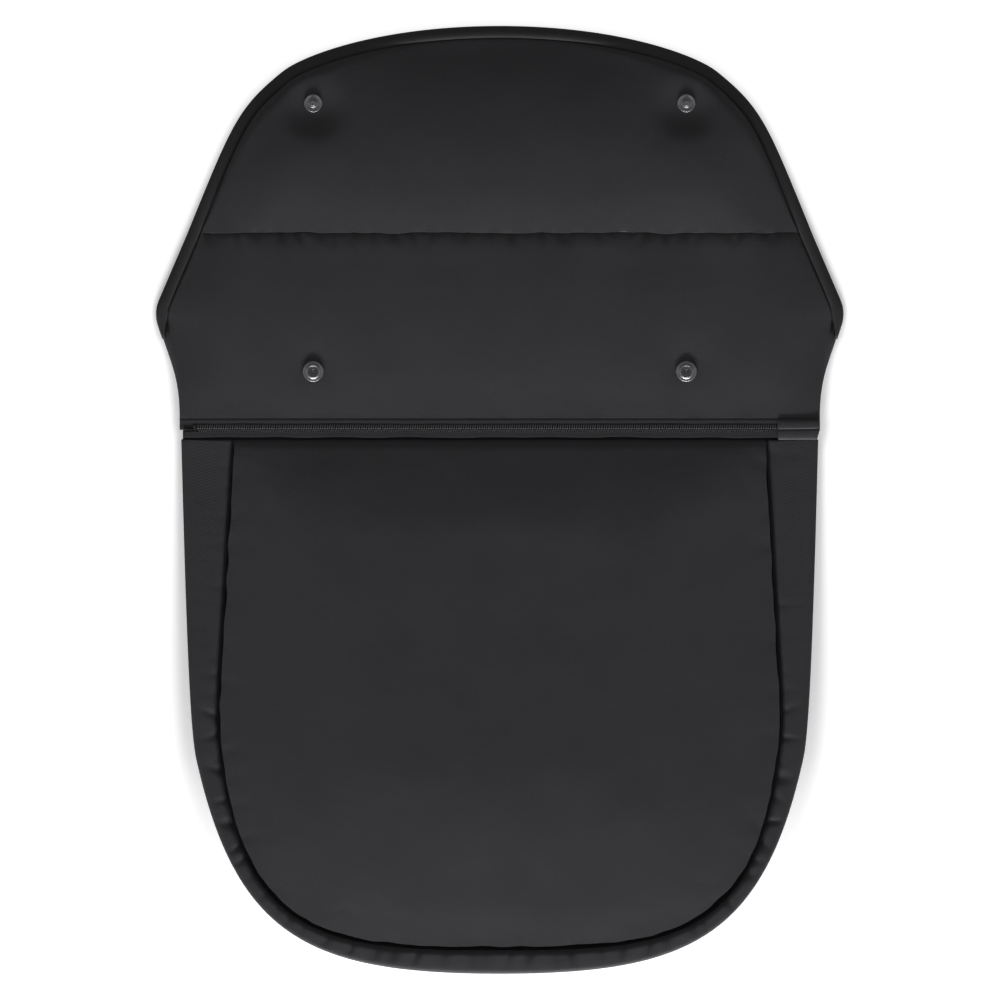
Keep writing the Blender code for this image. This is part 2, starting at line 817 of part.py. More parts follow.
def add_apron(finishes, carrier, snaps):
    """The padded apron between the zip and the fold, with its two short bindings."""
    side = apron_side()
    rim = apron_rim()
    bound = trimmed(offset_open(rim, BINDING_TURN), high=Y_FOLD - FOLD_GAP)
    right = joined(side[:-1], bound)
    fold = line(right[-1], Vector((-right[-1].x, right[-1].y)), LONG_STEP)
    left = mirrored(right)
    zip_edge = line(left[-1], right[0], LONG_STEP)
    outline = joined(right, fold, left, zip_edge)[:-1]
    sheet = Sheet(outline, (RING_OUTER, RING_INNER), snaps, PAD_GRID_MARGIN)
    flat = joined([side[-2]], bound)
    zip_lift = FACING_TOP + 2 * SEAM_GAP
    edge_runs = [
        rim_edge(flat),
        rim_edge(mirrored(flat)),
        (along_edges(fold, closed=False), SEAM_FLAT, BINDING_TURN, 0.0, EDGE_RUN),
        (along_edges(side, closed=False), SEAM_FLAT, 0.0, 0.0, EDGE_RUN),
        (along_edges(mirrored(side), closed=False), SEAM_FLAT, 0.0, 0.0, EDGE_RUN),
        (along_edges(zip_edge, closed=False), SEAM_FLAT, zip_lift, BINDING_FLAT + SEAM_FLAT, ZIP_RUN),
    ]
    add_pad("apron", sheet, Pad(edge_runs, snaps), sheet.rings[1], finishes, carrier)
    path = trimmed(rim, high=Y_FOLD - FOLD_GAP)
    right_binding = loft(binding_sections(path))
    add_piece("apron_binding_right", right_binding, finishes["binding"], carrier)
    left_binding = loft(binding_sections(mirrored(path)))
    add_piece("apron_binding_left", left_binding, finishes["binding"], carrier)


def add_flap(finishes, carrier, snaps):
    """The padded flap above the fold, with its binding."""
    half = flap_rim()
    rim = joined(half, mirrored(half))
    start = Y_FOLD + FOLD_GAP
    bound = trimmed(offset_open(rim, BINDING_TURN), low=start, high=start)
    fold = line(bound[-1], bound[0], LONG_STEP)
    outline = joined(bound, fold)[:-1]
    sheet = Sheet(outline, (RING_OUTER, RING_INNER), snaps, PAD_GRID_MARGIN)
    edge_runs = [
        rim_edge(bound),
        (along_edges(fold, closed=False), SEAM_FLAT, BINDING_TURN, 0.0, EDGE_RUN),
    ]
    add_pad("flap", sheet, Pad(edge_runs, snaps), sheet.rings[1], finishes, carrier)
    path = trimmed(rim, low=start, high=start)
    add_piece("flap_binding", loft(binding_sections(path)), finishes["binding"], carrier)


def add_zip(finishes, carrier):
    """The zip's tapes, chain, stops and fabric facings, and the tab over its closed end."""
    inner = CHAIN_HALF_WIDTH + SEAM_GAP
    tape_low = CHAIN_MIDDLE_HEIGHT - TAPE_THICKNESS / 2
    tape_high = CHAIN_MIDDLE_HEIGHT + TAPE_THICKNESS / 2
    half = ZIP_END_HALF_WIDTH
    lower_end = ZIP_END_HALF_WIDTH - LOWER_BAND_INSET
    tuck = Y_APRON_LOW + FACING_TUCK
    tape_end = Y_APRON_LOW + TAPE_TUCK
    flats = (
        ("zip_tape_upper", half, Y_CHAIN + inner, tape_end, tape_low, tape_high, "tape"),
        ("zip_tape_lower", lower_end, Y_AXIS, Y_CHAIN - inner, tape_low, tape_high, "tape"),
        ("zip_facing_upper", half, Y_CHAIN + inner, tuck, FACING_BOTTOM, FACING_TOP, "shell"),
        ("zip_facing_lower", lower_end, Y_AXIS, Y_CHAIN - inner, FACING_BOTTOM, FACING_TOP, "shell"),
    )
    for name, reach, low_y, high_y, low_z, high_z, finish in flats:
        made = box((-reach, low_y, low_z), (reach, high_y, high_z), FABRIC_SOFT)
        add_piece(name, made, finishes[finish], carrier)
    low_z = CHAIN_MIDDLE_HEIGHT - CHAIN_HEIGHT / 2
    high_z = CHAIN_MIDDLE_HEIGHT + CHAIN_HEIGHT / 2
    sides = (
        ("upper", Y_CHAIN + CHAIN_SPLIT, Y_CHAIN + CHAIN_HALF_WIDTH),
        ("lower", Y_CHAIN - CHAIN_HALF_WIDTH, Y_CHAIN - CHAIN_SPLIT),
    )
    stop_start = CHAIN_RIGHT + SEAM_GAP
    for side, near, far in sides:
        chain = box((CHAIN_LEFT, near, low_z), (CHAIN_RIGHT, far, high_z), CHAIN_SOFT)
        add_piece("zip_teeth_" + side, chain, finishes["coil"], carrier)
        stop_end = stop_start + STOP_LENGTH
        stop = box((stop_start, near, low_z), (stop_end, far, high_z), METAL_SOFT)
        add_piece("zip_top_stop_" + side, stop, finishes["metal"], carrier)
    bottom_end = CHAIN_LEFT - SEAM_GAP
    bottom_stop = box(
        (bottom_end - STOP_LENGTH, Y_CHAIN - CHAIN_HALF_WIDTH, low_z),
        (bottom_end, Y_CHAIN + CHAIN_HALF_WIDTH, high_z),
        METAL_SOFT,
    )
    add_piece("zip_bottom_stop", bottom_stop, finishes["metal"], carrier)
    add_garage(finishes, carrier)


def add_garage(finishes, carrier):
    """The folded tab that bridges the parked slider, on the facings at each side."""
    foot = FACING_TOP + SEAM_GAP
    roof = SLIDER_TOP + SEAM_GAP
    crown = roof + FABRIC
    near = Y_AXIS + GARAGE_INSET
    far = Y_APRON_LOW - SEAM_GAP
    profile = [
        (near, foot),
        (near + FABRIC, foot),
        (near + FABRIC, roof),
        (far - FABRIC, roof),
        (far - FABRIC, foot),
        (far, foot),
        (far, roof),
        (far - FABRIC, crown),
        (near + FABRIC, crown),
        (near, roof),
    ]
    sections = []
    for x in (GARAGE_LEFT, ZIP_END_HALF_WIDTH):
        sections.append([Vector((x, y, z)) for y, z in profile])
    add_piece("zip_garage", loft(sections), finishes["shell"], carrier)


def unite(target, helpers):
    """Joins helper solids into a piece, and leaves them out of the picture."""
    for helper in helpers:
        helper.hide_render = True
        helper.display_type = "WIRE"
        union = target.modifiers.new("join " + helper.name, "BOOLEAN")
        union.operation = "UNION"
        union.object = helper


def add_slider(finishes, carrier, pull_carrier):
    """The slider's two plates, their web and its crown, and the pull on the crown."""
    half = SLIDER_LENGTH / 2
    near = Y_CHAIN - SLIDER_WIDTH / 2
    far = Y_CHAIN + SLIDER_WIDTH / 2
    upper = SLIDER_UNDER_TOP
    lower = CHAIN_MIDDLE_HEIGHT - CHAIN_HEIGHT / 2 - SEAM_GAP
    body = box((SLIDER_X - half, near, upper), (SLIDER_X + half, far, SLIDER_TOP), METAL_SOFT)
    slider = add_piece("zip_slider", body, finishes["metal"], carrier)
    bottom = lower - SLIDER_PLATE
    crown_low = PULL_AXIS_HEIGHT - PULL_WIRE / 2 - CROWN_WALL - SEAM_GAP / 2
    crown_y = CROWN_WIDTH / 2
    parts = [
        box((SLIDER_X - half, near, bottom), (SLIDER_X + half, far, lower), METAL_SOFT),
        box(
            (SLIDER_X + WEB_START, Y_CHAIN - SLIDER_WEB / 2, lower - JOIN),
            (SLIDER_X + WEB_END, Y_CHAIN + SLIDER_WEB / 2, upper + JOIN),
        ),
        box(
            (SLIDER_X - CROWN_HALF_LENGTH, Y_CHAIN - crown_y, crown_low),
            (SLIDER_X + CROWN_HALF_LENGTH, Y_CHAIN + crown_y, crown_low + CROWN_WALL),
        ),
    ]
    for end in (-1, 1):
        outer = SLIDER_X + end * CROWN_HALF_LENGTH
        inner = outer - end * 2 * CROWN_WALL
        parts.append(
            box(
                (min(outer, inner), Y_CHAIN - crown_y, crown_low),
                (max(outer, inner), Y_CHAIN + crown_y, bottom + JOIN),
            )
        )
    helpers = []
    for index, part in enumerate(parts):
        helpers.append(add_piece(f"slider_helper_{index}", part, finishes["metal"], carrier))
    unite(slider, helpers)
    add_pull(finishes, pull_carrier)


def add_pull(finishes, carrier):
    """The pull: a ring of wire section round the crown, and a tab, lying flat towards -X."""
    low = PULL_AXIS_HEIGHT - PULL_WIRE / 2
    high = PULL_AXIS_HEIGHT + PULL_WIRE / 2
    ring = PULL_RING_INNER / 2
    outer = ring + PULL_WIRE
    rod = SLIDER_X + PULL_WIRE / 2
    shoulder = SLIDER_X - PULL_RING_LENGTH
    tab = PULL_WIDTH / 2
    end = SLIDER_X - PULL_LENGTH
    outline = [
        (rod, -outer),
        (rod, outer),
        (shoulder, outer),
        (shoulder - PULL_FLARE, tab),
        (end + PULL_CORNER, tab),
        (end, tab - PULL_CORNER),
        (end, PULL_CORNER - tab),
        (end + PULL_CORNER, -tab),
        (shoulder - PULL_FLARE, -tab),
        (shoulder, -outer),
    ]
    sections = []
    for z in (low, high):
        sections.append([Vector((x, Y_CHAIN + y, z)) for x, y in outline])
    pull = add_piece("zip_pull", loft(sections), finishes["metal"], carrier)
    window = box(
        (shoulder, Y_CHAIN - ring, low - CUT_PAST),
        (rod - PULL_WIRE, Y_CHAIN + ring, high + CUT_PAST),
    )
    cutter = add_piece("pull_window", window, finishes["metal"], carrier)
    cutter.hide_render = True
    cutter.display_type = "WIRE"
    cut = pull.modifiers.new("window", "BOOLEAN")
    cut.operation = "DIFFERENCE"
    cut.object = cutter


def add_stud(name, post_name, centre, finishes, carrier):
    """A stud on the flap's face and the post behind the lining, whose shank reaches into it."""
    base = SNAP_FRONT_HEIGHT + SNAP_SEAT_GAP
    flange = base + STUD_FLANGE
    tip = flange + KNOB_HEIGHT
    bore = RIVET_RADIUS + SEAM_GAP
    bore_top = tip - KNOB_ROOF
    stud = [
        (bore, base),
        (STUD_RADIUS - SNAP_SOFT, base),
        (STUD_RADIUS, base + SNAP_SOFT),
        (STUD_RADIUS - 1.5 * SNAP_SOFT, flange),
        (KNOB_RADIUS, flange - SNAP_SOFT / 2),
        (KNOB_RADIUS - SNAP_SOFT / 2, tip - 3 * SNAP_SOFT),
        (KNOB_RADIUS, tip - 1.5 * SNAP_SOFT),
        (KNOB_RADIUS - 1.5 * SNAP_SOFT, tip),
        (0.0, tip),
        (0.0, bore_top),
        (bore, bore_top),
    ]
    add_piece(name, turned(stud, centre), finishes["metal"], carrier)
    add_back_cap(post_name, centre, bore_top - SEAM_GAP, finishes, carrier)


def add_back_cap(name, centre, shank_top, finishes, carrier):
    """A flat cap behind the lining with a shank through the fabric, up to a given height."""
    high = SNAP_BACK_HEIGHT - SNAP_SEAT_GAP
    low = high - CAP_THICKNESS
    cap = [
        (0.0, low),
        (CAP_RADIUS - SNAP_SOFT, low),
        (CAP_RADIUS, low + SNAP_SOFT),
        (CAP_RADIUS - SNAP_SOFT / 2, high),
        (RIVET_RADIUS, high),
        (RIVET_RADIUS, shank_top),
        (0.0, shank_top),
    ]
    add_piece(name, turned(cap, centre), finishes["metal"], carrier)


def add_socket(side, centre, finishes, carrier):
    """A socket on the apron's face, its spring ring, and the cap behind the lining."""
    base = SNAP_FRONT_HEIGHT + SNAP_SEAT_GAP
    floor = base + SOCKET_FLOOR
    rim = base + SOCKET_HEIGHT
    bore = RIVET_RADIUS + SEAM_GAP
    socket = [
        (bore, base),
        (SOCKET_RADIUS - SNAP_SOFT, base),
        (SOCKET_RADIUS, base + SNAP_SOFT),
        (SOCKET_RADIUS - SNAP_SOFT, rim - 2 * SNAP_SOFT),
        (SOCKET_RADIUS - 4 * SNAP_SOFT, rim - SNAP_SOFT / 4),
        (SOCKET_RECESS_RADIUS + 2 * SNAP_SOFT, rim),
        (SOCKET_RECESS_RADIUS, rim - SNAP_SOFT),
        (SOCKET_RECESS_RADIUS, floor),
        (bore, floor),
    ]
    add_piece("socket_" + side, turned(socket, centre), finishes["metal"], carrier)
    low = floor + SEAM_GAP
    spring = [
        (SPRING_INNER_RADIUS, low),
        (SPRING_OUTER_RADIUS, low),
        (SPRING_OUTER_RADIUS, low + SPRING_HEIGHT),
        (SPRING_INNER_RADIUS, low + SPRING_HEIGHT),
    ]
    add_piece("socket_spring_" + side, turned(spring, centre), finishes["metal"], carrier)
    add_back_cap("socket_cap_" + side, centre, floor, finishes, carrier)


def build():
    clear_scene()
    finishes = {
        "shell": material("shell fabric", (46, 45, 48), 0.75),
        "lining": material("lining fabric", (34, 34, 36), 0.85),
        "wadding": material("fibre wadding", (214, 212, 206), 0.95),
        "binding": material("edge binding", (38, 38, 40), 0.70),
        "elastic": material("elastic tape", (30, 30, 32), 0.80),
        "tape": material("zip tape", (40, 40, 42), 0.80),
        "coil": material("zip coil", (36, 36, 38), 0.40),
        "metal": material("gunmetal", (78, 78, 82), 0.35, 1.0),
    }
    boot = Carrier("boot_base", (0, 0, 0))
    apron = Carrier("apron_fold_axis", (0, Y_AXIS, APRON_AXIS_HEIGHT), boot)
    flap = Carrier("flap_fold_axis", (0, Y_FOLD, FLAP_AXIS_HEIGHT), apron)
    slider = Carrier("zip_slide_line", (SLIDER_X, Y_CHAIN, CHAIN_MIDDLE_HEIGHT), apron)
    pull = Carrier("pull_swing_axis", (SLIDER_X, Y_CHAIN, PULL_AXIS_HEIGHT), slider)

    add_front_panel(finishes, boot)
    add_gusset(finishes, boot)
    add_heel(finishes, boot)
    add_rear_elastics(finishes, boot)

    names = (("left", -1), ("right", 1))
    sockets = [Vector((s * SNAP_HALF_SPACING, Y_FOLD - SNAP_FROM_FOLD)) for _, s in names]
    studs = [Vector((s * SNAP_HALF_SPACING, Y_FOLD + SNAP_FROM_FOLD)) for _, s in names]
    add_apron(finishes, apron, sockets)
    add_zip(finishes, apron)
    add_flap(finishes, flap, studs)
    for (side, _), socket, stud in zip(names, sockets, studs):
        add_socket(side, socket, finishes, apron)
        add_stud("stud_" + side, "stud_post_" + side, stud, finishes, flap)
    add_slider(finishes, slider, pull)


build()
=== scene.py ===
# %% [markdown]
# # A padded leg cover for a stroller
#
# The cover lies flat on its back and is seen from straight above. It is sewn from a charcoal woven
# polyester over fibre wadding: a boot with a padded front and a side gusset, an apron above a long zip,
# and an arched flap that folds forwards on a quilted seam until two press studs close.
#
# The solid model of the cover is loaded first. Every piece made here takes its place from that model, and
# most ride on one of its bodies.

# %% Load the solid model
import json
import math
import random

import bmesh
import bpy
import numpy as np
from mathutils import Matrix, Vector, geometry, noise


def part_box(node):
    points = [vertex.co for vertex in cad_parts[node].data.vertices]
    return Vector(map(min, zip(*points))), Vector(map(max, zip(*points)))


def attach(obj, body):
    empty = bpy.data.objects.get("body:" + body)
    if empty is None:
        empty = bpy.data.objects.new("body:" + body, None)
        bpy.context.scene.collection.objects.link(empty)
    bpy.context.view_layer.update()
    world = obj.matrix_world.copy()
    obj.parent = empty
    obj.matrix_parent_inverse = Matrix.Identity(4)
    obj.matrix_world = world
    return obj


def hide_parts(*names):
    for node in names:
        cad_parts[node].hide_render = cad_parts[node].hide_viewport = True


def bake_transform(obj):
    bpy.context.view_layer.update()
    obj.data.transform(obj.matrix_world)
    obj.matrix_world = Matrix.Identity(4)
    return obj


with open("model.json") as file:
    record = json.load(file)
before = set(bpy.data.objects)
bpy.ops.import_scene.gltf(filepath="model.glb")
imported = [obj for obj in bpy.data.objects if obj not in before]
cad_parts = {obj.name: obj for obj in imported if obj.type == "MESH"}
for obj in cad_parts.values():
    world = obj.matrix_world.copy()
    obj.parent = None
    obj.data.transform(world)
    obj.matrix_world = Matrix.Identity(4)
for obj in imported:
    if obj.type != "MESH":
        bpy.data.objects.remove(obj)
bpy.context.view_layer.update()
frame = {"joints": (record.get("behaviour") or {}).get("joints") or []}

joints = {joint["name"]: Vector(joint["pos_m"]) for joint in frame["joints"] if "pos_m" in joint}
WAIST = joints["apron_fold"]
FOLD = joints["flap_fold"]

# %% [markdown]
# ## Measures
#
# The boxes of the solid pieces give the cover's lengths and widths. What they can't give, such as how a
# curve swings between two points, is named here. All lengths are in metres, and MM turns millimetres
# into them.

# %% Measures taken from the solid model
MM = 0.001
Y_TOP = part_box("flap_binding")[1].y
Y_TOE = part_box("gusset")[0].y
Y_FOLD = FOLD.y
Y_WAIST = WAIST.y
BAND_HALF_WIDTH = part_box("zip_facing_upper")[1].x
LOWER_BAND_HALF_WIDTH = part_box("zip_facing_lower")[1].x
CORNER_HALF_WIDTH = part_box("apron_shell")[1].x + 2.7 * MM
CHAIN_LOW, CHAIN_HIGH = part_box("zip_teeth_upper")
SOCKETS = [(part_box("socket_" + side)[0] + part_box("socket_" + side)[1]) / 2 for side in ("left", "right")]
STUDS = [(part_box("stud_" + side)[0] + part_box("stud_" + side)[1]) / 2 for side in ("left", "right")]
print(f"length {(Y_TOP - Y_TOE) / MM:.1f} mm, fold at {Y_FOLD / MM:.1f}, waist at {Y_WAIST / MM:.1f}")

# %% [markdown]
# ## The camera, the lamps and the floor
#
# The photograph looks straight down from far away, so the camera has a very long lens and hangs twelve
# metres above the cover. The lamps are plain soft boxes. The strongest stands low beyond the toe, and makes
# the lower end of every pad lighter than its upper end.

# %% Camera
PIXEL = 0.715 * MM
PICTURE_WIDTH = 1000 * PIXEL
PICTURE_CENTRE_X = 0.25 * PIXEL
CAMERA_HEIGHT = 12.0


def in_scene(name, data):
    """A new object of this name, linked to the scene."""
    made = bpy.data.objects.new(name, data)
    bpy.context.scene.collection.objects.link(made)
    return made


camera_data = bpy.data.cameras.new("camera")
camera_data.lens = camera_data.sensor_width * CAMERA_HEIGHT / PICTURE_WIDTH
camera_data.clip_end = 50.0
camera = in_scene("camera", camera_data)
camera.location = (PICTURE_CENTRE_X, 0.0, CAMERA_HEIGHT)
bpy.context.scene.camera = camera
bpy.context.scene.view_settings.view_transform = "Standard"
print(f"lens {camera_data.lens:.0f} mm")


# %% Materials: small helpers
def paint(code):
    """An sRGB hex colour as linear values with alpha."""
    channels = []
    for start in (0, 2, 4):
        share = int(code[start : start + 2], 16) / 255
        channels.append(share / 12.92 if share <= 0.04045 else ((share + 0.055) / 1.055) ** 2.4)
    return (*channels, 1.0)


def node(material, kind, settings=None, links=None):
    """Adds a node, sets its properties or sockets by name, and links sockets from other nodes."""
    made = material.node_tree.nodes.new(kind)
    for name, value in (settings or {}).items():
        if isinstance(name, str) and name in made.bl_rna.properties:
            setattr(made, name, value)
        else:
            made.inputs[name].default_value = value
    for name, (source, socket) in (links or {}).items():
        material.node_tree.links.new(source.outputs[socket], made.inputs[name])
    return made


def blank(name):
    """A new material with nodes, its Principled shader and its output."""
    made = bpy.data.materials.new(name)
    made.use_nodes = True
    return made, made.node_tree.nodes["Principled BSDF"], made.node_tree.nodes["Material Output"]


# %% Lamps and background
AMBIENT = 0.15


def lamp(name, place, aim, size, watts):
    """A rectangular soft box at a place, turned to face a point."""
    data = bpy.data.lights.new(name, "AREA")
    data.shape = "RECTANGLE"
    data.size, data.size_y = size
    data.energy = watts
    made = in_scene(name, data)
    made.location = place
    made.rotation_euler = (Vector(aim) - Vector(place)).to_track_quat("-Z", "Y").to_euler()


lamp("lamp_toe", (0.0, -3.0, 0.75), (0.0, 0.0, 0.0), (2.4, 0.4), 116.0)
lamp("lamp_near_toe", (0.0, -1.15, 0.55), (0.0, -0.2, 0.0), (0.9, 0.3), 1.6)
for name, x in (("lamp_left", -1.9), ("lamp_right", 1.9)):
    lamp(name, (x, 0.1, 1.5), (0.0, 0.05, 0.0), (1.0, 1.6), 3.6)

world = bpy.data.worlds.new("studio")
bpy.context.scene.world = world
world.use_nodes = True
background = world.node_tree.nodes["Background"]
background.inputs["Color"].default_value = (1.0, 1.0, 1.0, 1.0)
rays = node(world, "ShaderNodeLightPath")
seen = node(
    world,
    "ShaderNodeMath",
    {"operation": "MAXIMUM"},
    {0: (rays, "Is Camera Ray"), 1: (rays, "Is Transmission Ray")},
)
strength = node(world, "ShaderNodeMapRange", {"To Min": AMBIENT, "To Max": 1.0}, {"Value": (seen, 0)})
world.node_tree.links.new(strength.outputs["Result"], background.inputs["Strength"])

# %% [markdown]
# ## A white floor with a painted soft shadow
#
# The floor is matte white paper. More light on it would also brighten the cover, so it glows for the camera
# instead. The glow is held back close beside the cover, which leaves the soft shadow that the photograph has
# along the sides. Ambient occlusion tells how close that is, and the floor's own Y keeps the ends clear.

# %% Floor
FLOOR_SIZE = 60.0
FLOOR_DROP = 0.4 * MM
FLOOR_GLOW = 0.86
SHADOW_REACH = 85 * MM
SHADOW_DEPTH = 0.58
SHADOW_AT_ENDS = 0.15
SIDES_END_Y, ENDS_START_Y = 0.18, 0.33

floor_material, floor_shader, floor_output = blank("white_paper_floor")
floor_shader.inputs["Base Color"].default_value = paint("e6e6e6")
floor_shader.inputs["Roughness"].default_value = 0.9
floor_place = node(floor_material, "ShaderNodeTexCoord")
floor_parts = node(floor_material, "ShaderNodeSeparateXYZ", {}, {0: (floor_place, "Object")})
floor_away = node(floor_material, "ShaderNodeMath", {"operation": "ABSOLUTE"}, {0: (floor_parts, 1)})
floor_sides = node(
    floor_material,
    "ShaderNodeMapRange",
    {"From Min": ENDS_START_Y, "From Max": SIDES_END_Y, "To Min": SHADOW_AT_ENDS, "To Max": 1.0},
    {"Value": (floor_away, 0)},
)
# Painted shadow: ambient occlusion dims the floor's glow beside the cover, less at its ends.
floor_open = node(floor_material, "ShaderNodeAmbientOcclusion", {"samples": 16, "Distance": SHADOW_REACH})
floor_shade = node(
    floor_material,
    "ShaderNodeMapRange",
    {"From Min": 1.0, "From Max": 0.74, "To Min": 0.0, "To Max": SHADOW_DEPTH},
    {"Value": (floor_open, "AO")},
)
floor_dark = node(
    floor_material, "ShaderNodeMath", {"operation": "MULTIPLY"}, {0: (floor_shade, 0), 1: (floor_sides, 0)}
)
floor_level = node(
    floor_material,
    "ShaderNodeMapRange",
    {"From Min": 0.0, "From Max": 1.0, "To Min": FLOOR_GLOW, "To Max": 0.0},
    {"Value": (floor_dark, 0)},
)
floor_glow = node(
    floor_material, "ShaderNodeEmission", {"Color": (1, 1, 1, 1)}, {"Strength": (floor_level, 0)}
)
floor_sum = node(floor_material, "ShaderNodeAddShader", {}, {0: (floor_shader, "BSDF"), 1: (floor_glow, 0)})
floor_rays = node(floor_material, "ShaderNodeLightPath")
floor_mix = node(
    floor_material,
    "ShaderNodeMixShader",
    {},
    {0: (floor_rays, "Is Camera Ray"), 1: (floor_shader, "BSDF"), 2: (floor_sum, 0)},
)
floor_material.node_tree.links.new(floor_mix.outputs[0], floor_output.inputs["Surface"])

floor_mesh = bmesh.new()
bmesh.ops.create_grid(floor_mesh, x_segments=1, y_segments=1, size=FLOOR_SIZE / 2)
bmesh.ops.translate(floor_mesh, verts=floor_mesh.verts, vec=(0, 0, -FLOOR_DROP))
floor_data = bpy.data.meshes.new("floor")
floor_mesh.to_mesh(floor_data)
floor_mesh.free()
floor_data.materials.append(floor_material)
in_scene("floor", floor_data)
print("floor and lamps are up")

# %% [markdown]
# ## Cloth
#
# The outer cloth is a plain-woven polyester microfibre, dyed in the piece and calendered, which gives a
# smooth face with a low satin sheen. Its threads lie a quarter of a millimetre apart, too fine for the
# picture, so the weave is drawn at 1.1 mm. Every cloth piece carries a UV map in metres that follows its
# surface, and the patterns read that map.

# %% Woven cloth
SHOWN_THREAD = 1.1 * MM
CLOUD_SIZE = 45 * MM
SLUB_SIZE = 2.2 * MM
LUMP_SIZE = 9 * MM
LUMP_RELIEF = 0.5 * MM
WEAVE_RELIEF = 0.10 * MM


def ripple(material, coordinates, axis, period):
    """A sine along one axis of the cloth, with one wave for each period."""
    parts = node(material, "ShaderNodeSeparateXYZ", {}, {0: (coordinates, 0)})
    wave = {"operation": "MULTIPLY", 1: 2 * math.pi / period}
    turns = node(material, "ShaderNodeMath", wave, {0: (parts, axis)})
    return node(material, "ShaderNodeMath", {"operation": "SINE"}, {0: (turns, 0)})


def toned(material, shader, code, tone):
    """Sends a colour times a tone to a shader's base colour."""
    scaled = {"operation": "SCALE", 0: paint(code)[:3]}
    dye = node(material, "ShaderNodeVectorMath", scaled, {"Scale": (tone, 0)})
    material.node_tree.links.new(dye.outputs[0], shader.inputs["Base Color"])


def from_noise(low, high):
    """Settings for a Map Range that spreads a noise between two values."""
    return {"From Min": 0.3, "From Max": 0.7, "To Min": low, "To Max": high}


def cloth(name, code, roughness, thread=SHOWN_THREAD, sheen=0.15, slant=0.0):
    """A plain or slanted weave: each thread goes over and under its neighbours."""
    made, shader, _ = blank(name)
    place = node(made, "ShaderNodeTexCoord")
    on_cloth = {"Vector": (place, "UV")}
    turned = node(made, "ShaderNodeMapping", {"Rotation": (0, 0, slant)}, on_cloth)
    across = ripple(made, turned, 0, 2 * thread)
    along = ripple(made, turned, 1, 2 * thread)
    weave = node(made, "ShaderNodeMath", {"operation": "MULTIPLY"}, {0: (across, 0), 1: (along, 0)})
    clouds = {"Scale": 1 / CLOUD_SIZE, "Detail": 3.0, "Roughness": 0.55}
    cloudy = node(made, "ShaderNodeTexNoise", clouds, on_cloth)
    slubs = node(made, "ShaderNodeTexNoise", {"Scale": 1 / SLUB_SIZE, "Detail": 2.0}, on_cloth)
    lumps = node(made, "ShaderNodeTexNoise", {"Scale": 1 / LUMP_SIZE, "Detail": 2.0}, on_cloth)
    shade = node(made, "ShaderNodeMapRange", from_noise(0.93, 1.07), {"Value": (cloudy, 0)})
    fleck = node(made, "ShaderNodeMapRange", from_noise(0.94, 1.06), {"Value": (slubs, 0)})
    tone = node(made, "ShaderNodeMath", {"operation": "MULTIPLY"}, {0: (shade, 0), 1: (fleck, 0)})
    toned(made, shader, code, tone)
    soft = node(
        made, "ShaderNodeBump", {"Strength": 0.35, "Distance": LUMP_RELIEF}, {"Height": (lumps, 0)}
    )
    fine = node(
        made,
        "ShaderNodeBump",
        {"Strength": 0.3, "Distance": WEAVE_RELIEF},
        {"Height": (weave, 0), "Normal": (soft, 0)},
    )
    made.node_tree.links.new(fine.outputs[0], shader.inputs["Normal"])
    shader.inputs["Roughness"].default_value = roughness
    shader.inputs["Specular IOR Level"].default_value = 0.35
    shader.inputs["Sheen Weight"].default_value = sheen
    shader.inputs["Sheen Roughness"].default_value = 0.45
    shader.inputs["Sheen Tint"].default_value = (0.8, 0.8, 0.84, 1.0)
    return made


# The calendered face cloth is the smoothest and shows a faint sheen. The lining is left matte.
SHELL = cloth("woven_polyester", "39393c", 0.62)
LINING = cloth("plain_woven_lining", "2b2b2d", 0.8, thread=1.0 * MM, sheen=0.05)
# Binding and zip tape are woven narrow. Their threads are seen on the slant.
BINDING = cloth("folded_binding_tape", "363638", 0.7, thread=0.7 * MM, slant=math.radians(45), sheen=0.1)
TAPE = cloth("woven_zip_tape", "2c2c2e", 0.75, thread=0.7 * MM, slant=math.radians(45), sheen=0.05)
# Rubber cores covered in thread give the elastic its coarse, dull ribs.
ELASTIC = cloth("ribbed_elastic", "262628", 0.8, thread=1.2 * MM, sheen=0.05)
print("cloth materials", [made.name for made in (SHELL, LINING, BINDING, TAPE, ELASTIC)])

# %% [markdown]
# ## Metal, coil and thread
#
# The press studs, the slider and its pull are plated in gunmetal, a dark satin metal. Its faint grain breaks
# up the lamps' reflections. The zip's end stops are lacquered black, which hides the metal. The coil is
# polyester monofilament with the soft gloss of plastic, and thread is twisted, so it stays matte. All of
# them have the same build: one noise varies the gloss, the colour and the height of the surface.


# %% Metal, coil and thread
def moulded(name, code, roughness, metallic, grain, relief):
    """A hard or twisted surface with a faint grain that breaks up its gloss."""
    made, shader, _ = blank(name)
    place = node(made, "ShaderNodeTexCoord")
    speckle = node(
        made, "ShaderNodeTexNoise", {"Scale": 1 / grain, "Detail": 4.0}, {"Vector": (place, "Object")}
    )
    spread = from_noise(roughness - 0.07, roughness + 0.09)
    gloss = node(made, "ShaderNodeMapRange", spread, {"Value": (speckle, 0)})
    made.node_tree.links.new(gloss.outputs[0], shader.inputs["Roughness"])
    shade = node(made, "ShaderNodeMapRange", from_noise(0.85, 1.15), {"Value": (speckle, 0)})
    toned(made, shader, code, shade)
    bump = node(
        made, "ShaderNodeBump", {"Strength": 0.3, "Distance": relief}, {"Height": (speckle, 0)}
    )
    made.node_tree.links.new(bump.outputs[0], shader.inputs["Normal"])
    shader.inputs["Metallic"].default_value = metallic
    return made


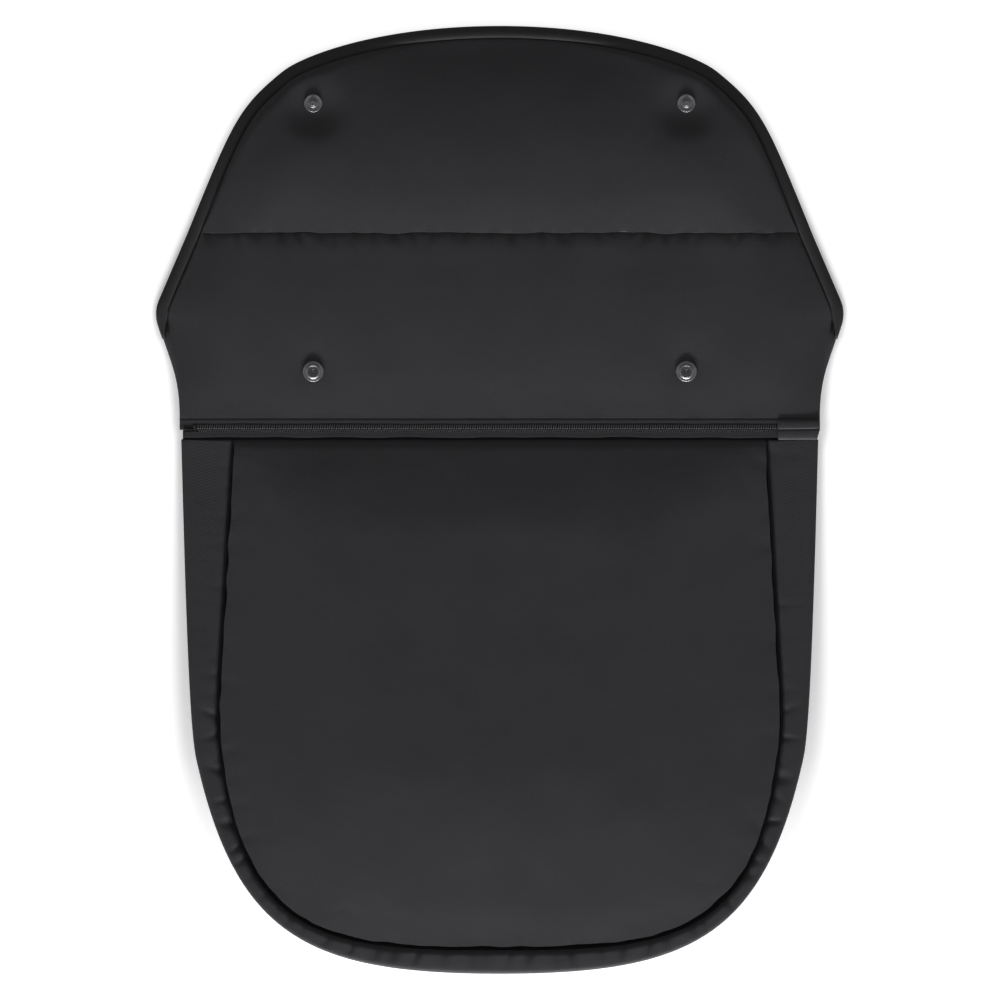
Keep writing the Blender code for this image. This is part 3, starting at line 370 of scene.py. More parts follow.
GUNMETAL = moulded("gunmetal_plated_brass", "9c9ca0", 0.42, 1.0, 0.6 * MM, 0.03 * MM)
LACQUER = moulded("black_lacquered_brass", "2c2c2e", 0.5, 0.0, 0.6 * MM, 0.03 * MM)
COIL = moulded("polyester_coil", "5c5c5f", 0.5, 0.0, 0.8 * MM, 0.02 * MM)
THREAD = moulded("twisted_thread", "1a1a1b", 0.7, 0.0, 0.5 * MM, 0.05 * MM)
# A near-black matte surface for the strip in the bottom of the boot's seam: painted shade of the pinch.
SEAM_SHADE_BLACK = moulded("painted_seam_shade_black", "0a0a0b", 0.9, 0.0, 0.6 * MM, 0.10 * MM)

# %% [markdown]
# ## Lines in plan
#
# Each seam and edge of the cover is one smooth curve, symmetrical about the middle. The curves are cubic,
# with the headings and handle lengths of the paper pattern, and are cut into even steps of a few
# millimetres so that the cloth between them divides evenly.

# %% Curve helpers
STEP = 4.0 * MM
CURVE_POINTS = 200


def heading(degrees):
    """The unit vector in plan at this angle from +X."""
    return Vector((math.cos(math.radians(degrees)), math.sin(math.radians(degrees))))


def run_along(line):
    """How far along a line each of its points lies."""
    return np.concatenate(([0.0], np.cumsum(np.linalg.norm(np.diff(line, axis=0), axis=1))))


def even(points, step=STEP):
    """The same line, cut into equal steps of about this length, as rows of X and Y."""
    points = np.array([tuple(point)[:2] for point in points])
    run = run_along(points)
    at = np.linspace(0.0, run[-1], max(2, round(run[-1] / step) + 1))
    return np.column_stack([np.interp(at, run, points[:, axis]) for axis in (0, 1)])


def mirrored(points):
    """The same line on the other side of the cover, in reverse order."""
    return points[::-1] * np.array((-1.0, 1.0))


def joined(*runs):
    """Lines end to end, with each shared point once."""
    kept = [runs[0]]
    for run in runs[1:]:
        start = 1 if np.linalg.norm(run[0] - kept[-1][-1]) < 1e-6 else 0
        kept.append(run[start:])
    return np.concatenate(kept)


def two_curves(start, middle, end, headings, handles):
    """Two cubic curves that meet smoothly, the second ending square to the middle line."""
    first = (middle - start).length
    second = (end - middle).length
    way = heading(headings[1])
    from_start = start + heading(headings[0]) * handles[0] * first
    to_middle = middle - way * handles[1] * first
    from_middle = middle + way * handles[2] * second
    to_end = end + Vector((handles[3] * second, 0))
    side = geometry.interpolate_bezier(start, from_start, to_middle, middle, CURVE_POINTS)
    round_end = geometry.interpolate_bezier(middle, from_middle, to_end, end, CURVE_POINTS)
    return even(side[:-1] + round_end)


def normals_of(line):
    """The unit normals to the left of a line's way."""
    way = np.gradient(line, axis=0)
    way /= np.linalg.norm(way, axis=1)[:, None]
    return np.column_stack((-way[:, 1], way[:, 0]))


def offset(points, distance):
    """An open line moved to the left of its way."""
    return points + normals_of(points) * distance


# %% The cover's own lines, right half
Y_BOOT_TOP = Y_WAIST + 0.6 * MM
Y_APRON_LOW = Y_WAIST + 15.9 * MM
SEAM_TOE_Y = Y_TOE + 16.8 * MM
CORNER_Y = Y_APRON_LOW + 76.0 * MM
CORNER_TRIM = 8.2 * MM
CORNER_HEADING = 73.0
CORNER_ROUNDNESS = 0.6
CORNER_POINTS = 24
SIDE_HANDLE = 0.43
RIM_START = (223.7 * MM, Y_FOLD)
SHOULDER = (154.7 * MM, Y_TOP - 32.3 * MM)

boot_edge = two_curves(
    Vector((227.7 * MM, Y_BOOT_TOP)),
    Vector((216.8 * MM, Y_TOE + 152.9 * MM)),
    Vector((0.0, Y_TOE)),
    (268.5, 257.3),
    (0.60, 0.09, 0.49, 0.515),
)
boot_seam = two_curves(
    Vector((190.9 * MM, Y_BOOT_TOP)),
    Vector((202.0 * MM, Y_TOE + 178.8 * MM)),
    Vector((0.0, SEAM_TOE_Y)),
    (273.1, 266.1),
    (0.66, 0.05, 0.62, 0.455),
)
flap_rim = two_curves(
    Vector(RIM_START), Vector(SHOULDER), Vector((0.0, Y_TOP)), (112.1, 141.0), (0.640, 0.308, 0.100, 0.562)
)
corner = Vector((CORNER_HALF_WIDTH, CORNER_Y))
corner_low = corner - heading(CORNER_HEADING) * CORNER_TRIM
corner_high = corner + (Vector(RIM_START) - corner).normalized() * CORNER_TRIM
side_start = Vector((BAND_HALF_WIDTH, Y_APRON_LOW))
side_reach = SIDE_HANDLE * (corner_low - side_start).length
side_handles = (side_start + Vector((0, side_reach)), corner_low - heading(CORNER_HEADING) * side_reach)
apron_side = even(geometry.interpolate_bezier(side_start, *side_handles, corner_low, CURVE_POINTS // 2))
corner_handles = [end.lerp(corner, CORNER_ROUNDNESS) for end in (corner_low, corner_high)]
apron_corner = geometry.interpolate_bezier(corner_low, *corner_handles, corner_high, CORNER_POINTS)
apron_rim = even(apron_corner[:-1] + [corner_high, Vector(RIM_START)])
print("line points: edge", len(boot_edge), "seam", len(boot_seam), "rim", len(flap_rim) + len(apron_rim))

# %% [markdown]
# ## Measuring along a seam
#
# Sewn cloth does the same things beside every seam: it rolls down steeply into the stitches, and it
# gathers into small creases that run square to the seam and die out in a centimetre. Both need to know,
# for any point of the cloth, how far it is from the seam and how far along the seam it lies.


# %% Distance to a seam, and creases beside it
def beside(line, points):
    """For each point: its distance to a line in plan, and how far along the line that is."""
    best = np.full(len(points), 1e9)
    place = np.zeros(len(points))
    run = 0.0
    for start, end in zip(line, line[1:]):
        way = end - start
        length = np.linalg.norm(way)
        share = np.clip((points - start) @ way / length**2, 0.0, 1.0)
        gap = np.linalg.norm(points - start - share[:, None] * way, axis=1)
        nearer = gap < best
        best[nearer] = gap[nearer]
        place[nearer] = run + share[nearer] * length
        run += length
    return best, place


def line_length(line):
    """The length of a line in plan."""
    return float(np.linalg.norm(np.diff(line, axis=0), axis=1).sum())


CREASE_LIMIT = 30 * MM
CREASE_LEAN = (-0.5, 0.5)
LEAST_SPREAD = 0.35


class Creases:
    """Small gathers along a seam, at uneven spacings, each with its own depth, width and reach."""

    def __init__(self, length, seed, spacing, depth, reach, width=(1.3 * MM, 3.2 * MM)):
        draw = random.Random(seed)
        self.all = []
        place = draw.uniform(*spacing) / 2
        while place < length:
            form = [draw.uniform(*limits) for limits in (depth, width, reach, CREASE_LEAN)]
            self.all.append((place, *form))
            place += draw.uniform(*spacing)

    def dip(self, place, gap, opening=1.0):
        """How deep the cloth is creased at a distance from the seam: opening out from it, or closing."""
        total = np.zeros(len(place))
        near = gap < CREASE_LIMIT
        for at, depth, width, reach, lean in self.all:
            off = place[near] - at - lean * gap[near]
            spread = width * np.maximum(LEAST_SPREAD, 1 + opening * gap[near] / reach)
            total[near] += depth * np.exp(-((off / spread) ** 2)) * np.exp(-gap[near] / reach)
        return total


def wander(place, seed, wave=22 * MM):
    """A smooth uneven wave along a seam, from about -1 to 1."""
    return np.array([noise.noise(Vector((s / wave, 7.3 * seed, 0.0))) * 1.6 for s in place])


def quick_roll(gap, run):
    """A quarter ellipse from 0 at a seam to 1 at the end of its run."""
    share = np.clip(gap / run, 0.0, 1.0)
    return np.sqrt(1.0 - (1.0 - share) ** 2)


def slow_roll(gap, run):
    """A quarter sine from 0 at a seam to 1 at the end of its run."""
    return np.sin(np.clip(gap / run, 0.0, 1.0) * math.pi / 2)


def drop(gap, height, quick_share, quick_run, slow_run):
    """How far below the crown the cloth lies: a seam's pull, fast at first and then slow."""
    share = quick_share * quick_roll(gap, quick_run) + (1 - quick_share) * slow_roll(gap, slow_run)
    return height * (1.0 - share)


def together(*drops, power=2.6):
    """Several seams' pulls as one, smooth where two of them are equally strong."""
    return sum(np.maximum(pull, 0.0) ** power for pull in drops) ** (1.0 / power)


# %% [markdown]
# ## A net of cloth inside an outline
#
# A padded panel starts as one flat face in the shape of its outline. Insetting that face again and again
# lays rings of even faces along the seam, which is where the cloth rolls and creases. What is left in
# the middle is cut into squares by planes. Extruding the whole net gives it a second side, and the heights
# of both sides then come from the seams.


# %% Net helpers
RING_MERGE = 0.55 * STEP
NET_MERGE = 0.12
ROW_ROOM = 0.6
ROW_SNAP = 0.05 * MM


def inner_face(mesh):
    """The largest face, which is the part that isn't divided yet."""
    return max(mesh.faces, key=lambda face: face.calc_area())


def lay_rings(mesh, rings):
    """Insets the undivided face by each ring, and merges the corners that this brings together."""
    for ring in rings:
        bmesh.ops.inset_region(
            mesh, faces=[inner_face(mesh)], thickness=ring, use_even_offset=True, use_boundary=True
        )
        bmesh.ops.remove_doubles(mesh, verts=list(inner_face(mesh).verts), dist=RING_MERGE)


def lay_squares(mesh, cell, rows):
    """Cuts the undivided face into squares, whose own lines keep clear of the given rows."""
    middle = inner_face(mesh)
    low_x, high_x = min(v.co.x for v in middle.verts), max(v.co.x for v in middle.verts)
    low_y, high_y = min(v.co.y for v in middle.verts), max(v.co.y for v in middle.verts)
    right = np.arange(0.0, high_x, cell)[1:]
    cuts = [(x, Vector((1, 0, 0))) for x in (*right, *-right, 0.0)]
    for y in np.arange(low_y + cell, high_y, cell):
        if all(abs(y - row) > ROW_ROOM * cell for row in rows):
            cuts.append((y, Vector((0, 1, 0))))
    inside = {middle}
    for place, way in cuts:
        geom = list(inside)
        geom += list({edge for face in inside for edge in face.edges})
        geom += list({vert for face in inside for vert in face.verts})
        cut = bmesh.ops.bisect_plane(mesh, geom=geom, dist=1e-6, plane_co=way * place, plane_no=way)
        inside |= {item for item in cut["geom"] if isinstance(item, bmesh.types.BMFace)}
        inside = {face for face in inside if face.is_valid}
    loose = [v for v in mesh.verts if low_x <= v.co.x <= high_x and low_y <= v.co.y <= high_y]
    bmesh.ops.remove_doubles(mesh, verts=loose, dist=NET_MERGE * cell)


def face_up(mesh):
    """Turns a net over if it faces down."""
    mesh.normal_update()
    if sum(face.normal.z for face in mesh.faces) < 0:
        bmesh.ops.reverse_faces(mesh, faces=mesh.faces)
    mesh.normal_update()


def crossed(face):
    """Whether a face of a flat net is turned over, or is a square that crosses itself."""
    corners = [vert.co for vert in face.verts]
    second = corners[1:] + corners[:1]
    third = corners[2:] + corners[:2]
    turns = [(b - a).cross(c - b).z for a, b, c in zip(corners, second, third)]
    return face.normal.z < 0 or (len(corners) == 4 and sum(turn < 0 for turn in turns) == 2)


def flat_net(outline, rings, cell, rows=()):
    """One layer of faces inside an outline: rings along its edge, squares within, extra rows at given Y."""
    mesh = bmesh.new()
    bmesh.ops.create_circle(mesh, cap_ends=True, segments=len(outline), radius=1.0)
    mesh.verts.ensure_lookup_table()
    for vert, place in zip(mesh.verts, outline):
        vert.co = (place[0], place[1], 0.0)
    lay_rings(mesh, rings)
    lay_squares(mesh, cell, rows)
    for row in rows:
        geom = list(mesh.faces) + list(mesh.edges) + list(mesh.verts)
        bmesh.ops.bisect_plane(mesh, geom=geom, dist=ROW_SNAP, plane_co=(0, row, 0), plane_no=(0, 1, 0))
    face_up(mesh)
    while faulty := [face for face in mesh.faces if crossed(face)]:
        bmesh.ops.collapse(mesh, edges=[min(faulty[0].edges, key=lambda edge: edge.calc_length())])
        mesh.normal_update()
    return mesh


def lay_uv(mesh):
    """A UV map in metres, from each corner's place in plan."""
    layer = mesh.loops.layers.uv.verify()
    for face in mesh.faces:
        for loop in face.loops:
            loop[layer].uv = loop.vert.co.xy


# %% From a mesh to a piece
def finish_piece(mesh, name, material, body=None, replaced=()):
    """Turns a bmesh into an object at the origin, with its finish, its body and the nodes it stands for."""
    data = bpy.data.meshes.new(name)
    mesh.to_mesh(data)
    mesh.free()
    data.materials.append(material)
    data.shade_smooth()
    made = in_scene(name, data)
    if body:
        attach(made, body)
    if replaced:
        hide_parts(*replaced)
    return made


def bend_at_fold(piece):
    """Bakes a piece's placement into its mesh."""
    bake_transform(piece)


# %% [markdown]
# ## The padded cover
#
# Apron and flap are one quilt on the real cover: outer cloth, wadding and lining are laid together, cut
# to one shape and stitched across once, which makes the line the flap folds on. So they are one net
# here too, not split at the fold. The front follows the same
# rule everywhere: it rises fast out of a seam, then slowly over a hand's width.

# %% Measures of the cover's section
EDGE_THICKNESS = 1.9 * MM
ZIP_EDGE_THICKNESS = 1.0 * MM
APRON_CROWN = 10.7 * MM
FLAP_RISE = 3.4 * MM
FLAP_RUN = 46.0 * MM
LINING_THICKNESS = 0.7 * MM
BINDING_TURN = 1.1 * MM
BINDING_FLAT = 7.2 * MM
BINDING_GROOVE = 2.0 * MM
ZIP_EDGE_LIFT = 5.7 * MM
FOLD_SEAM_HEIGHT = 8.5 * MM
FOLD_LINE_Y = Y_FOLD + 3.3 * MM
SNAP_SEAT = 8.7 * MM
SNAP_BACK = 4.0 * MM
SNAP_FLAT_RADIUS = 8.4 * MM
SOCKET_DIMPLE = 18.0 * MM
STUD_DIMPLE = 27.0 * MM

right_rim = joined(apron_rim, flap_rim)
rim = joined(right_rim, mirrored(right_rim))
bound_edge = offset(rim, BINDING_TURN)
zip_edge = even([(-BAND_HALF_WIDTH, Y_APRON_LOW), (BAND_HALF_WIDTH, Y_APRON_LOW)])
snap_places = [(np.array(tuple(place)[:2]), SOCKET_DIMPLE) for place in SOCKETS]
snap_places += [(np.array(tuple(place)[:2]), STUD_DIMPLE) for place in STUDS]
print(f"rim {line_length(rim) / MM:.0f} mm, zip edge {line_length(zip_edge) / MM:.0f} mm")


def smooth_step(share):
    """A smooth step from 0 to 1."""
    share = np.clip(share, 0.0, 1.0)
    return share * share * (3 - 2 * share)


def dimple(points):
    """0 on a press stud's flat seat, and 1 clear of its dimple."""
    share = np.ones(len(points))
    for place, radius in snap_places:
        away = np.linalg.norm(points - place, axis=1) - SNAP_FLAT_RADIUS
        share = np.minimum(share, smooth_step(away / (radius - SNAP_FLAT_RADIUS)))
    return share


def from_side(points):
    """The distance to the apron's free side edge, on either side of the cover."""
    return beside(apron_side, np.column_stack((np.abs(points[:, 0]), points[:, 1])))[0]


# %% The cover's back
BACK_RUN = 12.0 * MM
ZIP_BACK_RUN = 16.0 * MM
ZIP_BACK_FLAT = 6 * MM
CORNER_FROM, CORNER_RUN = 0.19, 30 * MM
CORNER_LOWERED = 0.35


def cover_back(points):
    """The height of the cover's back, held up by the binding, the fold and the zip band."""
    rim_gap, _ = beside(rim, points)
    fold_gap = np.abs(points[:, 1] - Y_FOLD)
    zip_gap = points[:, 1] - Y_APRON_LOW
    lift = BINDING_TURN * (1 - slow_roll(rim_gap - BINDING_FLAT, BACK_RUN))
    lift = np.maximum(lift, BINDING_TURN * (1 - slow_roll(fold_gap, BACK_RUN)))
    at_corner = smooth_step((np.abs(points[:, 0]) - CORNER_FROM) / CORNER_RUN)
    zip_lift = ZIP_EDGE_LIFT * (1 - slow_roll(zip_gap - ZIP_BACK_FLAT, ZIP_BACK_RUN))
    lift = np.maximum(lift, zip_lift * (1 - CORNER_LOWERED * at_corner))
    share = dimple(points)
    return lift * share + SNAP_BACK * (1 - share)


# %% The fold's puckers and the wadding's hollows
FOLD_DRIFT = 0.9 * MM
FOLD_DRIFT_WAVE = 15 * MM
FOLD_CHANNEL = 1.5 * MM
RUN_FROM_LEFT = 0.25
HOLLOW_WIDTH, HOLLOW_LENGTH = 62 * MM, 40 * MM
HOLLOW_DEPTH = 0.32 * MM
HOLLOW_FADE = 16 * MM


def creases(seed, spacing, depth, reach, length=0.5):
    """Creases along a seam, from spacings, depths and reaches in millimetres."""
    spacing, depth, reach = ([limit * MM for limit in limits] for limits in (spacing, depth, reach))
    return Creases(length, seed, spacing, depth, reach)


fold_creases_up = creases(21, spacing=(9, 21), depth=(0.1, 0.5), reach=(1.5, 3))
fold_creases_down = creases(22, spacing=(8, 22), depth=(0.5, 1.9), reach=(3, 7))
zip_creases = creases(23, spacing=(16, 38), depth=(0.1, 0.5), reach=(5, 14))


def fold_drift(x):
    """How far the stitch line wavers at each X."""
    return FOLD_DRIFT * wander(x + RUN_FROM_LEFT, 4, FOLD_DRIFT_WAVE)


def from_fold(points):
    """The distance to the fold's wavering stitch line, below zero on the apron, and the run along it."""
    return points[:, 1] - FOLD_LINE_Y - fold_drift(points[:, 0]), points[:, 0] + RUN_FROM_LEFT


def soft_dents(points, seed, gap):
    """Wide shallow hollows in the wadding, which fade out where the gap to the seams is small."""
    places = [Vector((x / HOLLOW_WIDTH, y / HOLLOW_LENGTH, 5.1 * seed)) for x, y in points]
    hollows = [noise.noise(place) * 1.5 for place in places]
    return HOLLOW_DEPTH * np.array(hollows) * smooth_step(gap / HOLLOW_FADE)


# %% [markdown]
# ## What pulls the front down
#
# Four seams hold the cover's front: the binding round the rim, the fold, the zip and the apron's free sides.
# A roll gives the share of a pull that fades fast, the run of that part, and the run of the slow rest. The
# zip's pull has only a slow part, and the rim's pull changes along the rim. All of them were matched to the
# shading beside each seam in the photograph.

# %% The pulls of the cover's seams
FLAP_ROLL = (0.62, 0.09 * MM, 40 * MM)
APRON_ROLL = (0.42, 6.0 * MM, 14 * MM)
SIDE_ROLL = (0.35, 4.0 * MM, 50 * MM)
ZIP_RUN = 86 * MM
SHOULDER_REACH = 130.0 * MM
SIDES_FROM, SIDES_SPAN = 0.17, 0.14
SIDE_EDGE_LIFT = 4.5 * MM
CREASE_START = 2 * MM
CHANNEL_RUN = 4 * MM
GROOVE_PLACE, GROOVE_HALF_WIDTH = 7.5 * MM, 0.9 * MM


def rim_pull(points, crown):
    """The distance to the rim, and the binding's pull, which fades sooner at the shoulders and the sides."""
    rim_gap, rim_run = beside(rim, points)
    at_side = smooth_step((np.abs(rim_run / line_length(rim) - 0.5) - SIDES_FROM) / SIDES_SPAN)
    at_shoulder = smooth_step(1.0 - np.linalg.norm(np.abs(points) - SHOULDER, axis=1) / SHOULDER_REACH)
    quick_share = 0.10 + 0.22 * at_side + 0.40 * at_shoulder
    quick_run = (2 + 6 * at_shoulder) * MM
    slow_run = (89 - 40 * at_side) * MM
    height = crown - BINDING_TURN - EDGE_THICKNESS
    return rim_gap, drop(np.maximum(rim_gap - BINDING_FLAT, 0), height, quick_share, quick_run, slow_run)


def cover_front(points):
    """The height of the cover's front."""
    fold_gap, fold_run = from_fold(points)
    zip_gap = points[:, 1] - Y_APRON_LOW
    on_flap = fold_gap > 0
    fold_gap = np.abs(fold_gap)
    crown = APRON_CROWN + np.where(on_flap, FLAP_RISE * slow_roll(fold_gap, FLAP_RUN), 0.0)
    rim_gap, rim_drop = rim_pull(points, crown)
    fold_height = APRON_CROWN - FOLD_SEAM_HEIGHT
    flap_drop = drop(fold_gap, fold_height, *FLAP_ROLL)
    fold_drop = np.where(on_flap, flap_drop, drop(fold_gap, fold_height, *APRON_ROLL))
    side_edge = EDGE_THICKNESS + SIDE_EDGE_LIFT * (1 - smooth_step((zip_gap - 4 * MM) / (45 * MM)))
    side_drop = drop(from_side(points), APRON_CROWN - side_edge, *SIDE_ROLL)
    zip_height = APRON_CROWN - ZIP_EDGE_LIFT - ZIP_EDGE_THICKNESS
    zip_drop = zip_height * (1.0 - slow_roll(zip_gap, ZIP_RUN)) * (points[:, 1] < Y_FOLD)
    free = crown - together(rim_drop, fold_drop, side_drop, zip_drop)
    by_rim = smooth_step(rim_drop / CHANNEL_RUN) * smooth_step((rim_gap - BINDING_FLAT) / CHANNEL_RUN)
    free -= FOLD_CHANNEL * by_rim * fold_drop / fold_height
    dips = [fold.dip(fold_run, fold_gap) for fold in (fold_creases_up, fold_creases_down)]
    free -= np.where(on_flap, *dips)
    free -= zip_creases.dip(fold_run, np.maximum(zip_gap, 0.0)) * np.minimum(1.0, zip_gap / CREASE_START)
    free += soft_dents(points, 1, np.minimum(rim_gap - BINDING_FLAT, zip_gap))
    free -= BINDING_GROOVE * (1 - smooth_step(np.abs(rim_gap - GROOVE_PLACE) / GROOVE_HALF_WIDTH))
    share = dimple(points)
    front = free * share + SNAP_SEAT * (1 - share)
    return np.maximum(front, cover_back(points) + ZIP_EDGE_THICKNESS)


apron_middle = np.array(((0.0, (Y_APRON_LOW + Y_FOLD) / 2),))
print(f"the apron's middle lies {cover_front(apron_middle)[0] / MM:.1f} mm up")


# %% A closed body from a net
CRISP_ANGLE = math.radians(60)


def padded_body(mesh, back, front):
    """Gives a flat net a front, and turns it into one closed body between two heights."""
    made = bmesh.ops.extrude_face_region(mesh, geom=list(mesh.faces), use_keep_orig=True)
    upper = [item for item in made["geom"] if isinstance(item, bmesh.types.BMVert)]
    upper_set = set(upper)
    lower = [vert for vert in mesh.verts if vert not in upper_set]
    for verts, height in ((upper, front), (lower, back)):
        places = np.array([(v.co.x, v.co.y) for v in verts])
        for vert, z in zip(verts, height(places)):
            vert.co.z = z
    lay_uv(mesh)
    bmesh.ops.recalc_face_normals(mesh, faces=list(mesh.faces))
    crisp = mesh.edges.layers.float.new("crease_edge")
    for edge in mesh.edges:
        if edge.calc_face_angle(0.0) > CRISP_ANGLE:
            edge[crisp] = 1.0
    return mesh


def applied(piece):
    """Replaces a piece's mesh by what its modifiers make of it."""
    depsgraph = bpy.context.evaluated_depsgraph_get()
    made = bpy.data.meshes.new_from_object(piece.evaluated_get(depsgraph))
    piece.modifiers.clear()
    piece.data = made


def subdivided(piece):
    """One level of subdivision, applied."""
    divide = piece.modifiers.new("subdivision", "SUBSURF")
    divide.levels = divide.render_levels = 1
    applied(piece)
    piece.data.set_sharp_from_angle(angle=CRISP_ANGLE)
    print(piece.name, len(piece.data.polygons), "faces")


def rows_of(piece, kind="co"):
    """One row of X, Y and Z for each of a piece's vertices: its place, or its normal."""
    rows = np.empty(len(piece.data.vertices) * 3, dtype=np.float32)
    piece.data.vertices.foreach_get(kind, rows)
    return rows.reshape(-1, 3).astype(float)


# %% [markdown]
# ## Letting the cloth swell
#
# The heights above are a rule, and real quilting isn't that even. So each pad is blown up a little as
# cloth, with its seams, its studs and its back held, for a few frames and without gravity. Only what the
# cloth did is kept: how far each point moved, never more than a cap and fading out towards the seams, so
# the stitched lines stay sharp. The pad's own even net serves as the cloth's mesh.

# %% Cloth under pressure
PRESSURE = 4.0
CLOTH_FRAMES = 16
CLOTH_STEPS = 5
CLOTH_MASS = 0.2
STRETCH_STIFFNESS = 20.0
SHEAR_STIFFNESS = 8.0
BENDING_STIFFNESS = 0.8
HELD_BELOW = 0.02
FRONT_NORMAL = 0.5
SWELL_CAP = 1.1 * MM


def blown_up(piece, held_points):
    """Where a pad's vertices lie after some frames of pressure, with the given ones held."""
    blown = in_scene("blown", piece.data.copy())
    held = blown.vertex_groups.new(name="held")
    held.add([int(at) for at in held_points], 1.0, "REPLACE")
    cloth_maker = blown.modifiers.new("cloth", "CLOTH")
    cloth_maker.collision_settings.use_collision = False
    cloth_maker.point_cache.frame_start = 1
    cloth_maker.point_cache.frame_end = CLOTH_FRAMES
    settings = cloth_maker.settings
    settings.quality = CLOTH_STEPS
    settings.mass = CLOTH_MASS
    settings.tension_stiffness = settings.compression_stiffness = STRETCH_STIFFNESS
    settings.shear_stiffness = SHEAR_STIFFNESS
    settings.bending_stiffness = BENDING_STIFFNESS
    settings.use_pressure = True
    settings.uniform_pressure_force = PRESSURE
    settings.vertex_group_mass = held.name
    settings.effector_weights.gravity = 0.0
    for frame_at in range(1, CLOTH_FRAMES + 1):
        bpy.context.scene.frame_set(frame_at)
    applied(blown)
    places = rows_of(blown)
    bpy.context.scene.frame_set(1)
    bpy.data.objects.remove(blown)
    return places


def swell(piece, freedom):
    """Simulates a pad's front under pressure, and keeps the capped movement of its free points."""
    start = rows_of(piece)
    share = freedom(start[:, :2]) * (rows_of(piece, "normal")[:, 2] > FRONT_NORMAL)
    moved = blown_up(piece, np.flatnonzero(share < HELD_BELOW)) - start
    reach = np.linalg.norm(moved, axis=1)[:, None]
    print(piece.name, "moved", round(reach.max() / MM, 2), "mm at most as cloth")
    moved *= np.where(reach > 0, SWELL_CAP * np.tanh(reach / SWELL_CAP) / np.maximum(reach, 1e-9), 0.0)
    moved *= share[:, None]
    print(piece.name, "kept", round(np.linalg.norm(moved, axis=1).max() / MM, 2), "mm of it at most")
    piece.data.vertices.foreach_set("co", (start + moved).astype(np.float32).ravel())
    piece.data.update()


def seam_freedom(gap):
    """0 where a pad is held at its seams, and 1 out in the wadding."""
    return smooth_step(gap / (30 * MM))


# %% The cover's net and its body
CELL = 6.0 * MM
COVER_RINGS = [step * MM for step in (0.35, 1.0, 2.0, 2.4, 0.35, 0.45, 0.45, 0.6, 1.0, 1.8, 2.8, 3.6)]
FOLD_OFFSETS = (-11.5, -8.5, -6.2, -4.4, -3.0, -1.9, -1.0, -0.1, 0.1, 1.0, 2.0, 3.4, 5.4, 8.0, 11.5)
FOLD_ROWS = [FOLD_LINE_Y + row * MM for row in FOLD_OFFSETS]
FOLD_WARP = 12.0 * MM

cover_outline = joined(apron_side[:-1], bound_edge, mirrored(apron_side)[1:], zip_edge[1:-1])
cover_net = flat_net(cover_outline, COVER_RINGS, CELL, FOLD_ROWS)
along_fold = [
    edge
    for edge in cover_net.edges
    if all(abs(v.co.y - FOLD_LINE_Y) < FOLD_WARP for v in edge.verts)
    and abs(edge.verts[0].co.y - edge.verts[1].co.y) < 1e-5
    and edge.calc_length() > 0.6 * CELL
]
bmesh.ops.subdivide_edges(cover_net, edges=along_fold, cuts=2)
for vert in cover_net.verts:
    near = 1.0 - abs(vert.co.y - FOLD_LINE_Y) / FOLD_WARP
    if near > 0:
        vert.co.y += float(fold_drift(np.array([vert.co.x]))[0]) * min(1.0, 2 * near)
padded_body(cover_net, lambda p: cover_back(p) + LINING_THICKNESS, cover_front)
cover_pad = finish_piece(
    cover_net, "cover_pad", SHELL, replaced=("apron_shell", "apron_wadding", "flap_shell", "flap_wadding")
)


def cover_freedom(points):
    """0 at the cover's seams and studs, and 1 out in the wadding."""
    rim_gap, _ = beside(rim, points)
    zip_gap = points[:, 1] - Y_APRON_LOW
    fold_gap, _ = from_fold(points)
    gaps = (rim_gap - 12 * MM, zip_gap - 4 * MM, np.abs(fold_gap) - 12 * MM, from_side(points))
    return seam_freedom(np.minimum.reduce(gaps)) * dimple(points)


swell(cover_pad, cover_freedom)
subdivided(cover_pad)
bend_at_fold(cover_pad)

# %% [markdown]
# ## The boot
#
# The boot's front is a second quilt, sewn by its U-shaped seam to a gusset, the strip that gives the feet
# their room. The panel climbs towards the toe with the gusset, and its crown is highest there. The seam
# draws the quilt's own edge in a little unevenly, while the lining behind it keeps the full outline.

# %% The front panel's heights
PANEL_THICKNESS = 11.0 * MM
PANEL_TOE_SWELL = 5.0 * MM
PANEL_MOUTH_HEIGHT = 2.0 * MM
PANEL_TOE_RISE = 18.0 * MM
PANEL_RISE_POWER = 1.3
SEAM_PULL = 0.66
SEAM_RUN, SEAM_RUN_AT_TOE = 62, 122
MOUTH_ROLL = (0.32, 7 * MM, 66 * MM)

whole_seam = joined(boot_seam, mirrored(boot_seam))
whole_edge = joined(boot_edge, mirrored(boot_edge))
panel_creases = creases(6, spacing=(16, 42), depth=(0.2, 0.7), reach=(6, 16), length=1.2)


def panel_base(points):
    """The height of the panel's back, which rises to the toe."""
    share = np.clip((Y_BOOT_TOP - points[:, 1]) / (Y_BOOT_TOP - SEAM_TOE_Y), 0.0, 1.0)
    return PANEL_MOUTH_HEIGHT + PANEL_TOE_RISE * share**PANEL_RISE_POWER


def to_toe(points):
    """0 at the waist and 1 at the toe."""
    return np.clip((Y_WAIST - points[:, 1]) / (Y_WAIST - Y_TOE), 0.0, 1.0)


